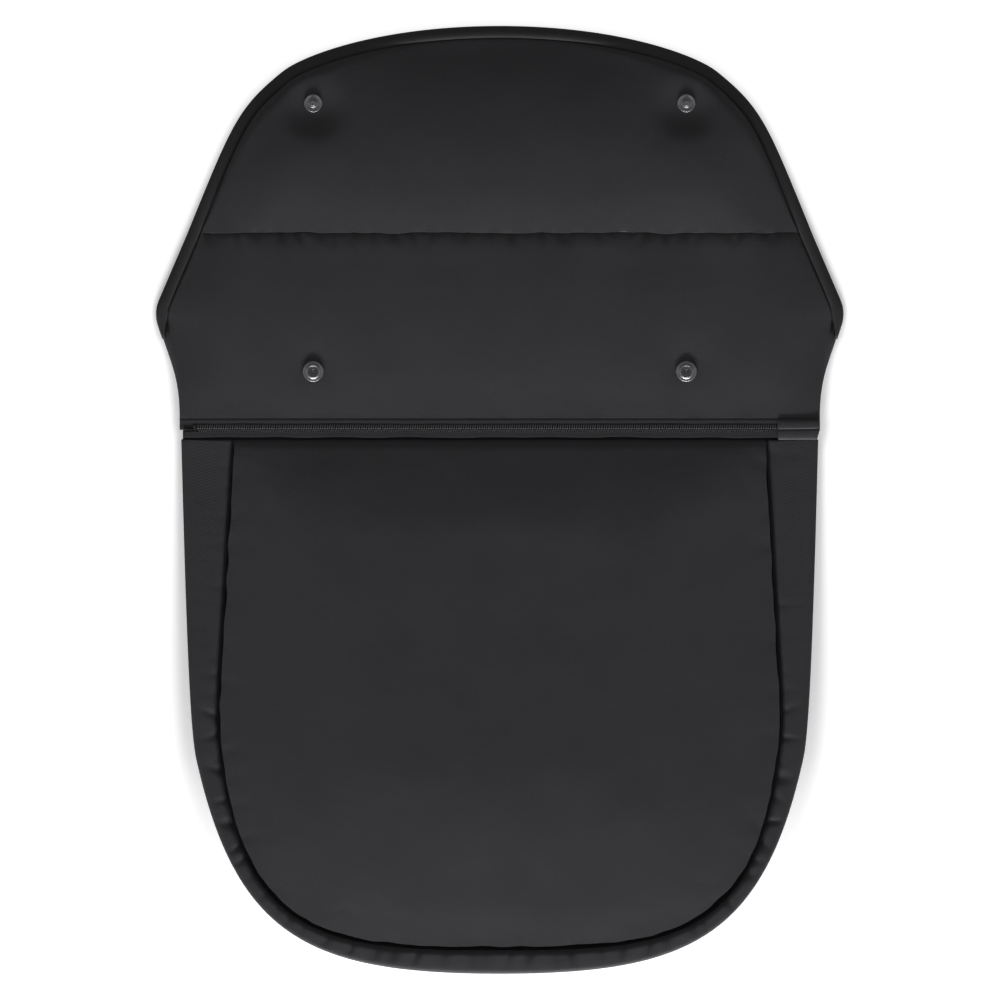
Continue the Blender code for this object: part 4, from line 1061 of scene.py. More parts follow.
def panel_front(points):
    """The height of the panel's front."""
    seam_gap, seam_run = beside(whole_seam, points)
    mouth_gap = Y_BOOT_TOP - points[:, 1]
    low = to_toe(points)
    crown = PANEL_THICKNESS + PANEL_TOE_SWELL * smooth_step(low)
    height = crown - EDGE_THICKNESS
    slow_run = (SEAM_RUN + SEAM_RUN_AT_TOE * low) * MM
    seam_drop = SEAM_PULL * height * (1.0 - slow_roll(seam_gap, slow_run))
    front = panel_base(points) + crown - together(seam_drop, drop(mouth_gap, height, *MOUTH_ROLL))
    front -= panel_creases.dip(seam_run, seam_gap) * np.minimum(1.0, seam_gap / CREASE_START)
    front += soft_dents(points, 2, np.minimum(seam_gap, mouth_gap))
    return np.maximum(front, panel_base(points) + ZIP_EDGE_THICKNESS)


panel_middle = np.array(((0.0, (Y_BOOT_TOP + SEAM_TOE_Y) / 2),))
print(f"the panel's middle lies {panel_front(panel_middle)[0] / MM:.1f} mm up")


# %% The front panel
PAD_RINGS = [step * MM for step in (0.35, 0.8, 1.1, 1.4, 1.8, 2.2, 2.8, 3.4, 4.0)]
SEAM_INSET = 1.3 * MM
mouth = even([(boot_seam[0][0], Y_BOOT_TOP), (-boot_seam[0][0], Y_BOOT_TOP)])[::-1][1:-1]


def seam_inset(points, waver=0.0):
    """How far the quilt's edge is drawn in from its seam, most at the toe."""
    return SEAM_INSET * (1 + 1.2 * to_toe(points) + waver)


inset = seam_inset(whole_seam, 0.5 * wander(run_along(whole_seam), 8, 12 * MM))
pad_seam = whole_seam - normals_of(whole_seam) * inset[:, None]
pad_seam[[0, -1]] = whole_seam[[0, -1]]
panel_net = flat_net(joined(pad_seam, mouth)[::-1], PAD_RINGS, CELL)
padded_body(panel_net, lambda p: panel_base(p) + LINING_THICKNESS, panel_front)
boot_panel = finish_piece(
    panel_net, "boot_panel_pad", SHELL, "boot", replaced=("front_panel_shell", "front_panel_wadding")
)


def panel_freedom(points):
    """0 at the panel's seams, and 1 out in the wadding."""
    seam_gap, _ = beside(whole_seam, points)
    return seam_freedom(np.minimum(seam_gap, Y_BOOT_TOP - points[:, 1] - 4 * MM))


swell(boot_panel, panel_freedom)
subdivided(boot_panel)

# %% [markdown]
# ## Strips along a line
#
# Gusset, binding and tapes are long strips with one section all the way. Each starts as a grid whose rows
# run along the strip. A function then says where each row and column goes, and Solidify gives the cloth
# its thickness.


# %% Strip helper
def strip(place_of, columns, rows):
    """A grid laid out by a function of column and row, with a UV map in metres, and its flat size."""
    mesh = bmesh.new()
    bmesh.ops.create_grid(mesh, x_segments=columns - 1, y_segments=rows - 1, size=1.0)
    places = {}
    for vert in mesh.verts:
        column = round((vert.co.x + 1) / 2 * (columns - 1))
        row = round((vert.co.y + 1) / 2 * (rows - 1))
        places[vert] = (column, row)
    spots = np.array([[place_of(column, row) for row in range(rows)] for column in range(columns)])
    across = np.linalg.norm(np.diff(spots, axis=1), axis=2).mean(axis=0)
    along = np.linalg.norm(np.diff(spots, axis=0), axis=2).mean(axis=1)
    u = np.concatenate(([0.0], np.cumsum(along)))
    v = np.concatenate(([0.0], np.cumsum(across)))
    layer = mesh.loops.layers.uv.verify()
    for face in mesh.faces:
        for loop in face.loops:
            column, row = places[loop.vert]
            loop[layer].uv = (u[column], v[row])
    for vert, (column, row) in places.items():
        vert.co = spots[column, row]
    mesh.normal_update()
    return mesh, (float(u[-1]), float(v[-1]))


def thickened(piece, thickness, inward=True):
    """Gives a sheet its thickness, behind its face or on both sides of it."""
    wall = piece.modifiers.new("thickness", "SOLIDIFY")
    wall.thickness = thickness
    wall.offset = -1.0 if inward else 0.0
    wall.use_even_offset = inward
    return piece


# %% Pairs across the gusset
GUSSET_FLANGE = 8.0 * MM
GUSSET_CLOTH = 1.0 * MM
GUSSET_REACH = 0.12
GUSSET_STEP = 1.6 * MM
ABOVE_EDGE = 8 * MM
EDGE_OVERLAP = 0.02


def across_gusset(points):
    """The place on the boot's edge that each place of its seam faces, straight across the strip."""
    away = normals_of(points)
    away[0] = (1.0, 0.0)
    away[-1] = (-1.0, 0.0)
    above = np.array((0.0, ABOVE_EDGE))
    line = np.vstack((whole_edge[0] + above, whole_edge, whole_edge[-1] + above))
    spare = EDGE_OVERLAP * (line[1:] - line[:-1])
    edges = list(zip(line[:-1] - spare, line[1:] + spare))
    found = []
    for point, way in zip(points, away):
        far = point + way * GUSSET_REACH
        hits = [geometry.intersect_line_line_2d(point, far, start, end) for start, end in edges]
        found.append(min((hit for hit in hits if hit), key=lambda hit: (hit - Vector(point)).length))
    return np.array([(hit.x, min(hit.y, Y_BOOT_TOP)) for hit in found]), away


gusset_seam = even(whole_seam, GUSSET_STEP)
gusset_outer, gusset_way = across_gusset(gusset_seam)
gusset_run = run_along(gusset_seam)
gusset_top = panel_base(gusset_seam) + (2.6 + 3.4 * to_toe(gusset_seam)) * MM
gusset_creases = Creases(
    line_length(whole_seam),
    5,
    (9 * MM, 22 * MM),
    (0.8 * MM, 2.8 * MM),
    (3 * MM, 8 * MM),
    (1.8 * MM, 4.6 * MM),
)
gusset_gather = 0.2 + 0.8 * smooth_step((to_toe(gusset_seam) - 0.35) / 0.4)
print(f"gusset {gusset_run[-1] / MM:.0f} mm along its seam, {len(gusset_seam)} columns")

# %% The gusset's section
GROOVE_ROWS = np.array((0.0, 0.25, 0.6, 1.1, 1.8, 2.8, 4.0, 5.4, 7.0, 9.0)) * MM
GROOVE_RUN = 3.8 * MM
GROOVE_DEPTH = 0.7
GUSSET_TURNS = 16
GUSSET_SQUARENESS = 0.17
GUSSET_UNDER = 0.8
GUSSET_LEAST = 0.6 * MM
FLANGE_ROWS = (0.35, 0.7, 1.0)
CREASE_CLOSING = -0.2
gusset_rows = len(GROOVE_ROWS) + GUSSET_TURNS + len(FLANGE_ROWS)
dents = [
    gusset_creases.dip(gusset_run, np.full(len(gusset_run), out), CREASE_CLOSING) * min(1.0, out / MM)
    for out in GROOVE_ROWS
]
dents = np.column_stack(dents) * gusset_gather[:, None]


def gusset_place(column, row):
    """A place of the gusset: out of the seam, round its side and back in under the boot."""
    seam = gusset_seam[column]
    reach = gusset_outer[column] - seam
    width = np.linalg.norm(reach)
    middle = gusset_top[column] / 2
    if row < len(GROOVE_ROWS):
        out = GROOVE_ROWS[row]
        share = (out / width) ** (1 / GUSSET_SQUARENESS)
        height = middle + middle * (1 - share**2) ** (GUSSET_SQUARENESS / 2)
        depth = GROOVE_DEPTH * min(2 * middle, 7 * MM)
        height -= depth * (1 - quick_roll(out, GROOVE_RUN)) + dents[column, row]
        return (*(seam + reach * out / width), max(height, GUSSET_LEAST))
    step = row - len(GROOVE_ROWS)
    if step < GUSSET_TURNS:
        start = math.acos((GROOVE_ROWS[-1] / width) ** (1 / GUSSET_SQUARENESS))
        angle = start - (start + math.pi / 2) * (step + 1) / GUSSET_TURNS
        power = GUSSET_SQUARENESS if angle > 0 else GUSSET_UNDER
        out = max(math.cos(angle), 0.0) ** power
        return (*(seam + reach * out), middle + math.copysign(middle * abs(math.sin(angle)) ** power, angle))
    share = FLANGE_ROWS[step - GUSSET_TURNS]
    return (*(seam - gusset_way[column] * GUSSET_FLANGE * share), 0.0)


gusset_mesh, gusset_flat = strip(gusset_place, len(gusset_seam), gusset_rows)
gusset = thickened(finish_piece(gusset_mesh, "gusset_strip", SHELL, "boot", ["gusset"]), GUSSET_CLOTH)

# %% A near-black strip in the bottom of the seam, painted shade where the two cloths pinch together
SHADE_STRIP_OUT = 0.5 * MM
SHADE_STRIP_CLOTH = 0.4 * MM
shade_strip_in = seam_inset(gusset_seam)
shade_strip_height = panel_base(gusset_seam) + 1.4 * MM


def shade_strip_place(column, row):
    """A place of the strip of painted seam shade, between the pad's wall and the gusset."""
    out = (-shade_strip_in[column], 0.0, SHADE_STRIP_OUT)[row]
    return (*(gusset_seam[column] + gusset_way[column] * out), shade_strip_height[column])


shade_strip_mesh, _ = strip(shade_strip_place, len(gusset_seam), 3)
thickened(finish_piece(shade_strip_mesh, "seam_allowance", SEAM_SHADE_BLACK, "boot"), SHADE_STRIP_CLOTH)

# %% [markdown]
# ## The edge binding
#
# A folded tape grips the raw edges of all the cover's layers, from one wide corner over the arch to the
# other. It is one length on the real cover, so it is one strip here.

# %% The binding
BINDING_CLOTH = 0.7 * MM
BINDING_SECTION = (
    (6.85, 2.0), (6.95, 2.4), (7.0, 4.0), (6.7, 4.22), (5.4, 4.25), (3.8, 4.05), (2.4, 3.7), (1.2, 3.2),
    (0.35, 2.6), (0.02, 1.95), (0.35, 1.15), (1.1, 0.55), (2.6, 0.15), (4.6, 0.05), (6.4, 0.05), (7.0, 0.3),
)
BAND_CORNER = math.radians(50)
TAIL = 14.0 * MM
TAIL_WIDTH = 0.12
tail = apron_side[line_length(apron_side) - run_along(apron_side) < TAIL]
right_binding = joined(tail[:-1], right_rim)
binding_line = even(joined(right_binding, mirrored(right_binding)), 3.0 * MM)
binding_run = run_along(binding_line)
to_end = np.minimum(binding_run, binding_run[-1] - binding_run)
binding_width = TAIL_WIDTH + (1 - TAIL_WIDTH) * smooth_step(to_end / (1.3 * TAIL))
binding_side = normals_of(binding_line)


def binding_place(column, row):
    """A place of the folded tape: front edge, over the rim, back edge."""
    inset, height = BINDING_SECTION[row]
    inset *= binding_width[column] * MM
    return (*(binding_line[column] + binding_side[column] * inset), height * MM)


binding_mesh, binding_flat = strip(binding_place, len(binding_line), len(BINDING_SECTION))
bound_nodes = ("flap_binding", "apron_binding_left", "apron_binding_right")
binding = thickened(finish_piece(binding_mesh, "edge_binding", BINDING, replaced=bound_nodes), BINDING_CLOTH)
binding.data.set_sharp_from_angle(angle=BAND_CORNER)
bend_at_fold(binding)
print(f"binding {binding_flat[0] / MM:.0f} x {binding_flat[1] / MM:.1f} mm, cut flat")

# %% [markdown]
# ## Stitches
#
# A lockstitch shows as short bars of thread with a small gap between two of them, pulled a little into the
# cloth. Each bar here is a low sphere drawn out along the seam, with few faces, because there are hundreds.

# %% Rows of stitches
STITCH = 2.5 * MM
STITCH_PITCH = 3.3 * MM
THREAD_WIDTH = 0.5 * MM


def stitches(name, line, height):
    """A row of stitches along a line, all at one height."""
    mesh = bmesh.new()
    spots = even(line, STITCH_PITCH)
    size = Matrix.Diagonal((STITCH / 2, THREAD_WIDTH / 2, THREAD_WIDTH / 2, 1.0))
    for start, end in zip(spots[:-1], spots[1:]):
        way = end - start
        turn = Matrix.Rotation(math.atan2(way[1], way[0]), 4, "Z")
        place = Matrix.Translation((*((start + end) / 2), height))
        bmesh.ops.create_uvsphere(mesh, u_segments=6, v_segments=4, radius=1.0, matrix=place @ turn @ size)
    print(name, len(spots) - 1, "stitches")
    return finish_piece(mesh, name, THREAD)


BINDING_STITCH_INSET = 5.6 * MM
BINDING_TOP = 4.25 * MM
full_width = binding_width > 0.98
stitch_line = (binding_line + binding_side * BINDING_STITCH_INSET)[full_width]
bend_at_fold(stitches("binding_stitches", stitch_line, BINDING_TOP))

# %% [markdown]
# ## The linings
#
# A plain-woven lining backs both quilts. It is cut to the outlines of the seams, on nets like the pads' but
# with coarser squares, as a thin closed sheet just behind the pads.

# %% Both linings
LINING_CLOTH = 0.5 * MM
LINING_RINGS = [step * MM for step in (2.5, 4.0, 6.0)]
LINING_CELL = 9.0 * MM
panel_outline = joined(whole_seam, mouth)[::-1]


def thin_sheet(net, back, cloth_thickness):
    """A flat net as one closed sheet of cloth whose back lies at a height."""
    return padded_body(net, back, lambda p: back(p) + cloth_thickness)


def lining(name, outline, back, rows, body, replaced):
    """A lining cut to an outline."""
    net = thin_sheet(flat_net(outline, LINING_RINGS, LINING_CELL, rows), back, LINING_CLOTH)
    made = finish_piece(net, name, LINING, body, replaced)
    return made


cover_nodes = ("apron_lining", "flap_lining")
bend_at_fold(lining("cover_lining", cover_outline, cover_back, FOLD_ROWS, None, cover_nodes))
lining("boot_lining", panel_outline, panel_base, (), "boot", ["front_panel_lining"])

# %% [markdown]
# ## The zip
#
# The zip is a coil zip: each half is a monofilament wound into a coil and sewn along a woven tape, and
# the heads of the two coils lock into each other. Only a narrow part of each tape shows, because a folded
# strip of the outer cloth covers it at each side. The band belongs to the apron and turns with it.

# %% Tapes, facings and the waist seam
CHAIN_Y = (CHAIN_LOW.y + 0.7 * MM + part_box("zip_teeth_lower")[1].y) / 2
CHAIN_Z = (CHAIN_LOW.z + CHAIN_HIGH.z) / 2
LONG_STEP = 2.5 * MM


def band(name, half_width, section, material, thickness, seed, waver=0.0, body=None, replaced=()):
    """A strip across the cover from rows of Y and Z in millimetres, and of how much each row wavers."""
    columns = int(2 * half_width / LONG_STEP) + 1
    across = np.linspace(half_width, -half_width, columns)
    drift = wander(across + half_width, seed) * waver

    def place(column, row):
        y, z, loose = section[row]
        return (across[column], y * MM + drift[column] * loose, z * MM)

    mesh, flat = strip(place, columns, len(section))
    made = thickened(finish_piece(mesh, name, material, body, replaced), thickness)
    made.data.set_sharp_from_angle(angle=BAND_CORNER)
    print(name, f"{flat[0] / MM:.0f} x {flat[1] / MM:.1f} mm, cut flat")
    return made


def even_rows(*places):
    """A band's section whose rows don't waver."""
    return [(y, z, 0) for y, z in places]


UPPER_FACING = (
    (60.4, 5.3, 0), (59.0, 5.35, 0), (58.0, 5.55, 0.1), (57.4, 5.8, 0.3), (56.6, 5.88, 0.5), (55.6, 5.9, 0.8),
    (54.85, 5.9, 1), (54.8, 5.2, 1), (55.3, 5.12, 0.8), (60.3, 5.1, 0),
)
LOWER_FACING = (
    (46.4, 5.0, 0.5), (45.4, 5.02, 1), (45.06, 5.1, 1), (45.0, 5.95, 1), (45.5, 5.97, 0.9), (46.6, 5.82, 0.7),
    (47.8, 5.72, 0.5), (48.5, 5.7, 0.5), (48.6, 5.45, 0.5), (48.2, 5.4, 0.5), (46.5, 5.2, 0.5),
)
UPPER_TAPE = even_rows((59.4, 4.75), (57.0, 4.78), (54.8, 4.78), (53.4, 4.7), (52.0, 4.2), (50.12, 3.95))
LOWER_TAPE = even_rows((50.08, 3.95), (48.6, 4.1), (47.8, 4.6), (46.8, 4.76), (45.9, 4.76), (45.3, 4.7))
WAIST_SEAM = even_rows((46.8, 4.35), (46.5, 4.1), (46.4, 2.2), (45.8, 1.6), (43.6, 1.5), (41.4, 1.5))
ZIP_BANDS = (
    ("zip_facing_upper", "_cloth", BAND_HALF_WIDTH, UPPER_FACING, SHELL, 0.3 * MM, 11, 0.25 * MM),
    ("zip_facing_lower", "_cloth", LOWER_BAND_HALF_WIDTH, LOWER_FACING, SHELL, 0.3 * MM, 12, 0.5 * MM),
    ("zip_tape_upper", "_woven", BAND_HALF_WIDTH, UPPER_TAPE, TAPE, 0.5 * MM, 13, 0.0),
    ("zip_tape_lower", "_woven", LOWER_BAND_HALF_WIDTH, LOWER_TAPE, TAPE, 0.5 * MM, 14, 0.0),
)
for node_name, ending, *measures in ZIP_BANDS:
    band(node_name + ending, *measures, "apron", [node_name])
waist_seam = band("waist_seam_tape", LOWER_BAND_HALF_WIDTH, WAIST_SEAM, LINING, 0.2 * MM, 15)
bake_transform(waist_seam)

# %% The two halves of the coil
TOOTH_PITCH = 1.65 * MM
TOOTH_LENGTH = 3.3 * MM
TOOTH_SLANT = 0.45 * MM
TOOTH_FROM_MIDDLE = 0.15 * MM
WIRE_RADIUS = 0.48 * MM
HEAD_PLACE, HEAD_LENGTH, HEAD_SWELL = 0.86, 0.13, 0.45
TIP_PLACE, TIP_SHRINK, TIP_DIP = 0.99, 0.30, 0.15


def tooth(mesh, side):
    """One slanted turn of monofilament, arched over the chain, with a swollen head near its tip."""
    bmesh.ops.create_cone(
        mesh, cap_ends=True, segments=7, radius1=WIRE_RADIUS, radius2=WIRE_RADIUS, depth=1.0
    )
    lengths = [edge for edge in mesh.edges if abs(edge.verts[0].co.z - edge.verts[1].co.z) > 0.5]
    bmesh.ops.subdivide_edges(mesh, edges=lengths, cuts=5)
    for vert in mesh.verts:
        share = vert.co.z + 0.5
        at_tip = share > TIP_PLACE
        head = HEAD_SWELL * math.exp(-(((share - HEAD_PLACE) / HEAD_LENGTH) ** 2))
        swelling = 1.0 + head - TIP_SHRINK * at_tip
        arch = 1.0 + 0.35 * math.sin(min(1.0, share / 0.85) * math.pi / 2) - TIP_DIP * at_tip
        x = vert.co.x * swelling - TOOTH_SLANT * (share - 0.5) * side
        z = vert.co.y * swelling + arch * MM - 0.35 * MM
        vert.co = (x, side * (TOOTH_FROM_MIDDLE + (1 - share) * TOOTH_LENGTH), z)


def coil_half(name, side, shift, replaced):
    """One half of the chain: a row of teeth that lie a little loosely."""
    mesh = bmesh.new()
    tooth(mesh, side)
    first = list(mesh.verts) + list(mesh.edges) + list(mesh.faces)
    start = CHAIN_LOW.x + TOOTH_PITCH / 2 + shift
    count = int((CHAIN_HIGH.x - start) / TOOTH_PITCH)
    draw = random.Random(31 + int(side))
    for index in range(1, count):
        copy = bmesh.ops.duplicate(mesh, geom=first)["geom"]
        verts = [item for item in copy if isinstance(item, bmesh.types.BMVert)]
        loose = Vector((draw.gauss(0, 0.04), draw.gauss(0, 0.03), draw.gauss(0, 0.04))) * MM
        bmesh.ops.translate(mesh, verts=verts, vec=Vector((index * TOOTH_PITCH, 0, 0)) + loose)
    bmesh.ops.translate(mesh, verts=mesh.verts, vec=(start, CHAIN_Y, CHAIN_Z))
    bmesh.ops.recalc_face_normals(mesh, faces=list(mesh.faces))
    finish_piece(mesh, name, COIL, "apron", [replaced])
    print(name, count, "teeth")


coil_half("zip_coil_upper", 1.0, 0.0, "zip_teeth_upper")
coil_half("zip_coil_lower", -1.0, TOOTH_PITCH / 2, "zip_teeth_lower")

# %% The tab over the closed end
GARAGE_LOW, GARAGE_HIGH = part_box("zip_garage")
GARAGE_CLOTH = 0.5 * MM
GARAGE_SECTION = (
    (57.9, 6.3), (57.85, 7.2), (57.2, 7.9), (55.6, 8.2), (53.4, 8.25), (51.6, 8.2), (50.8, 7.95),
    (50.55, 7.6), (50.3, 7.55), (49.9, 7.75), (48.8, 7.9), (46.6, 7.85), (44.6, 7.65), (43.4, 7.2),
    (42.95, 6.6), (42.95, 6.3),
)
open_end = GARAGE_LOW.x + 3 * MM
garage_across = np.concatenate(
    (np.linspace(GARAGE_LOW.x, open_end, 5)[:-1], np.linspace(open_end, GARAGE_HIGH.x, 12))
)


def garage_place(column, row):
    """A place of the folded tab, whose open end is turned under and whose folds drift apart."""
    x = garage_across[column]
    y, z = GARAGE_SECTION[row]
    turned_under = max(0.0, 1 - (x - GARAGE_LOW.x) / (1.2 * MM))
    z -= 0.5 * turned_under**2 * (z > 6.4)
    share = (x - GARAGE_LOW.x) / (GARAGE_HIGH.x - GARAGE_LOW.x)
    y += 0.5 * share**2 * (43.5 < y < 57) + 0.12 * math.sin(40 * share + row)
    cut = 2.2 * MM * max(0.0, (50.4 - y) / 7.5)
    return (min(x, GARAGE_HIGH.x - cut), y * MM, z * MM)


garage_mesh, garage_flat = strip(garage_place, len(garage_across), len(GARAGE_SECTION))
bmesh.ops.reverse_faces(garage_mesh, faces=garage_mesh.faces)
garage = thickened(finish_piece(garage_mesh, "zip_end_tab", SHELL, "apron", ["zip_garage"]), GARAGE_CLOTH)
print("tab", [round(side / MM, 1) for side in garage_flat], "mm, cut flat")

# %% [markdown]
# ## Press studs
#
# The press studs are stamped from brass sheet and plated in gunmetal. Each is a turned part, so half of
# its section is drawn as a line and spun about its own middle. The stud's rolled knob snaps into the
# spring ring of the socket when the flap is folded down.

# %% Turned parts
TURNS = 48


def turned(node_name, ending, profile, centre, base, body):
    """Spins pairs of radius and height in millimetres about an upright line, closed at both ends."""
    mesh = bmesh.new()
    verts = [mesh.verts.new((radius * MM, 0.0, height * MM)) for radius, height in profile]
    geom = verts + [mesh.edges.new(pair) for pair in zip(verts, verts[1:])]
    bmesh.ops.spin(
        mesh, geom=geom, cent=(0, 0, 0), axis=(0, 0, 1), angle=2 * math.pi, steps=TURNS, use_merge=True
    )
    bmesh.ops.remove_doubles(mesh, verts=mesh.verts, dist=1e-6)
    bmesh.ops.translate(mesh, verts=mesh.verts, vec=(centre[0], centre[1], base))
    bmesh.ops.recalc_face_normals(mesh, faces=list(mesh.faces))
    made = finish_piece(mesh, node_name + ending, GUNMETAL, body, [node_name])
    made.data.set_sharp_from_angle(angle=math.radians(50))


STUD_PROFILE = (
    (0.0, 0.0), (5.6, 0.0), (6.2, 0.15), (6.45, 0.5), (6.4, 0.85), (6.1, 1.05), (5.7, 1.05), (5.4, 0.8),
    (4.9, 0.55), (4.0, 0.48), (3.4, 0.5), (3.15, 0.7), (3.0, 0.95), (2.75, 1.05), (2.5, 0.95), (2.3, 0.8),
    (1.95, 1.0), (1.85, 1.5), (1.95, 2.0), (2.22, 2.35), (2.28, 2.65), (2.1, 2.92), (1.7, 3.05), (1.2, 3.08),
    (0.8, 2.95), (0.0, 2.88),
)
SOCKET_PROFILE = (
    (0.0, 0.0), (6.6, 0.0), (7.2, 0.2), (7.45, 0.75), (7.4, 1.3), (7.1, 1.65), (6.6, 1.75), (6.1, 1.6),
    (5.8, 1.5), (5.5, 1.6), (5.2, 1.95), (4.9, 2.35), (4.5, 2.6), (4.1, 2.62), (3.8, 2.45), (3.6, 2.1),
    (3.55, 1.2), (3.5, 0.3), (2.4, 0.25), (1.75, 0.25), (1.65, 1.3), (1.45, 1.5), (1.2, 1.3), (1.1, 0.3),
    (0.0, 0.3),
)
CAP_PROFILE = (
    (0.0, 0.0), (3.0, 0.05), (5.2, 0.15), (5.85, 0.35), (5.9, 0.6), (5.6, 0.85), (4.8, 0.9), (2.0, 0.9),
    (1.35, 1.1), (1.3, 2.5), (1.3, 6.7), (0.0, 6.75),
)
SNAP_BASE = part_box("stud_left")[0].z
CAP_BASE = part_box("socket_cap_left")[0].z
for side, socket, stud in zip(("left", "right"), SOCKETS, STUDS):
    turned(f"socket_{side}", "_rolled", SOCKET_PROFILE, socket, SNAP_BASE, "apron")
    turned(f"socket_cap_{side}", "_domed", CAP_PROFILE, socket, CAP_BASE, "apron")
    turned(f"stud_{side}", "_rolled", STUD_PROFILE, stud, SNAP_BASE, "flap")
    turned(f"stud_post_{side}", "_domed", CAP_PROFILE, stud, CAP_BASE, "flap")
print("press studs turned in", TURNS, "steps")

# %% [markdown]
# ## The heel panel and the elastics
#
# Behind the toe the boot is closed by a plain panel, and above it the gusset's edges are free. Elastic
# tapes gather the panel's upper hem and those edges, which makes small, even waves in the thin cloth.

# %% The heel panel
Y_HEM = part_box("heel_panel")[1].y
HEM_SAG = 12.0 * MM
HEEL_INSET = GUSSET_FLANGE + 0.3 * MM
HEEL_CLOTH = 0.7 * MM
HEEL_CELL = 5.0 * MM
HEEL_RINGS = [step * MM for step in (1.5, 2.5, 3.5)]
GATHER_PITCH = 11 * MM
GATHER_HEIGHT = 0.5 * MM
GATHER_FADE = 16 * MM
inner_half = boot_seam - normals_of(boot_seam) * HEEL_INSET
inner_half[-1][0] = 0.0
hem_width = float(np.interp(Y_HEM, inner_half[::-1, 1], inner_half[::-1, 0]))


def hem_drop(x):
    """How far the hem sags below its ends."""
    return HEM_SAG * (1 - (np.asarray(x) / hem_width) ** 2)


heel_half = even(np.vstack(((hem_width, Y_HEM), inner_half[inner_half[:, 1] < Y_HEM])))
hem_x = np.linspace(-hem_width, hem_width, 2 * round(hem_width / STEP) + 1)[1:-1]
hem_line = np.column_stack((hem_x, Y_HEM - hem_drop(hem_x)))
heel_outline = joined(heel_half, mirrored(heel_half), hem_line)[::-1]


def heel_back(points):
    """The floor, with the small waves that the hem's elastic gathers."""
    below = Y_HEM - hem_drop(points[:, 0]) - points[:, 1]
    uneven = 1.5 * wander(points[:, 0] + 0.3, 9, 60 * MM)
    waves = 0.5 + 0.5 * np.sin(2 * math.pi * points[:, 0] / GATHER_PITCH + uneven)
    return GATHER_HEIGHT * waves * np.exp(-np.maximum(below, 0.0) / GATHER_FADE)


heel_net = thin_sheet(flat_net(heel_outline, HEEL_RINGS, HEEL_CELL), heel_back, HEEL_CLOTH)
heel = finish_piece(heel_net, "heel_panel_cloth", LINING, "boot", ["heel_panel"])

# %% Elastic tapes
ELASTIC_CLOTH = 0.6 * MM
ELASTIC_ROWS = 5
ELASTIC_STEP = 0.8 * MM
RIB_PITCH = 3.2 * MM
RIB_HEIGHT = 0.12 * MM


def elastic(node_name, near, far, low):
    """A gathered elastic tape between two lines, whose ribs run across it."""
    run = run_along(near)

    def place(column, row):
        share = row / (ELASTIC_ROWS - 1)
        rib = RIB_HEIGHT * math.sin(2 * math.pi * run[column] / RIB_PITCH)
        return (*(near[column] * (1 - share) + far[column] * share), low + ELASTIC_CLOTH + rib)

    mesh, flat = strip(place, len(near), ELASTIC_ROWS)
    face_up(mesh)
    name = node_name.replace("heel_hem", "hem") + "_ribbed"
    thickened(finish_piece(mesh, name, ELASTIC, "boot", [node_name]), ELASTIC_CLOTH)
    print(name, [round(side / MM, 1) for side in flat], "mm")


HEM_ELASTIC = (2.0 * MM, 12.0 * MM)
REAR_ELASTIC = (1.0, 7.0)
strip_x = np.arange(-(hem_width - 2 * MM), hem_width - 2 * MM, ELASTIC_STEP)
hem_lines = [np.column_stack((strip_x, Y_HEM - inset - hem_drop(strip_x))) for inset in HEM_ELASTIC]
elastic("heel_hem_elastic", *hem_lines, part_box("heel_hem_elastic")[0].z)
rear_low, rear_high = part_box("rear_elastic_right")
beside_back = (boot_seam[:, 1] > rear_low.y) & (boot_seam[:, 1] < rear_high.y)
rear_run = even(boot_seam[beside_back], ELASTIC_STEP)
for side, name in ((1, "right"), (-1, "left")):
    lines = [
        np.column_stack((side * (rear_run[:, 0] - inset * MM), rear_run[:, 1])) for inset in REAR_ELASTIC
    ]
    elastic(f"rear_elastic_{name}", *lines, rear_low.z)

# %% [markdown]
# ## The slider
#
# The slider is die-cast zinc. Two plates ride above and below the coil, joined by a wedge at the front
# end, with flanges that squeeze the two halves together. It is plated like the press studs. It is parked
# under the tab, and its pull hangs on a crown at the back.

# %% The slider's body
SLIDER_LOW, SLIDER_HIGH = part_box("zip_slider")
SLIDER_X = (SLIDER_LOW.x + SLIDER_HIGH.x) / 2
HALF_LENGTH = (SLIDER_HIGH.x - SLIDER_LOW.x) / 2
HALF_WIDTH = (SLIDER_HIGH.y - SLIDER_LOW.y) / 2
PLATE = 1.0 * MM
LOWER_PLATE_TOP = 3.1 * MM
FLANGE = 0.9 * MM
NOSE_WIDTH = 0.78
CROWN_HALF = 5.5 * MM
CROWN_WALL = 0.7 * MM
CROWN_POST = 1.2 * MM
CROWN_HALF_WIDTH = 0.9 * MM


def block(mesh, low, high, narrow=1.0, soft=0.25 * MM):
    """A block with eased edges, narrower towards -X, in the slider's own mesh."""
    low, high = Vector(low), Vector(high)
    made = bmesh.ops.create_cube(mesh, size=1.0)["verts"]
    bmesh.ops.scale(mesh, verts=made, vec=high - low)
    bmesh.ops.translate(mesh, verts=made, vec=(low + high) / 2)
    for vert in made:
        if vert.co.x < (low.x + high.x) / 2:
            vert.co.y *= narrow
    edges = list({edge for vert in made for edge in vert.link_edges})
    bmesh.ops.bevel(mesh, geom=edges, offset=soft, segments=3, profile=0.5, affect="EDGES", material=-1)


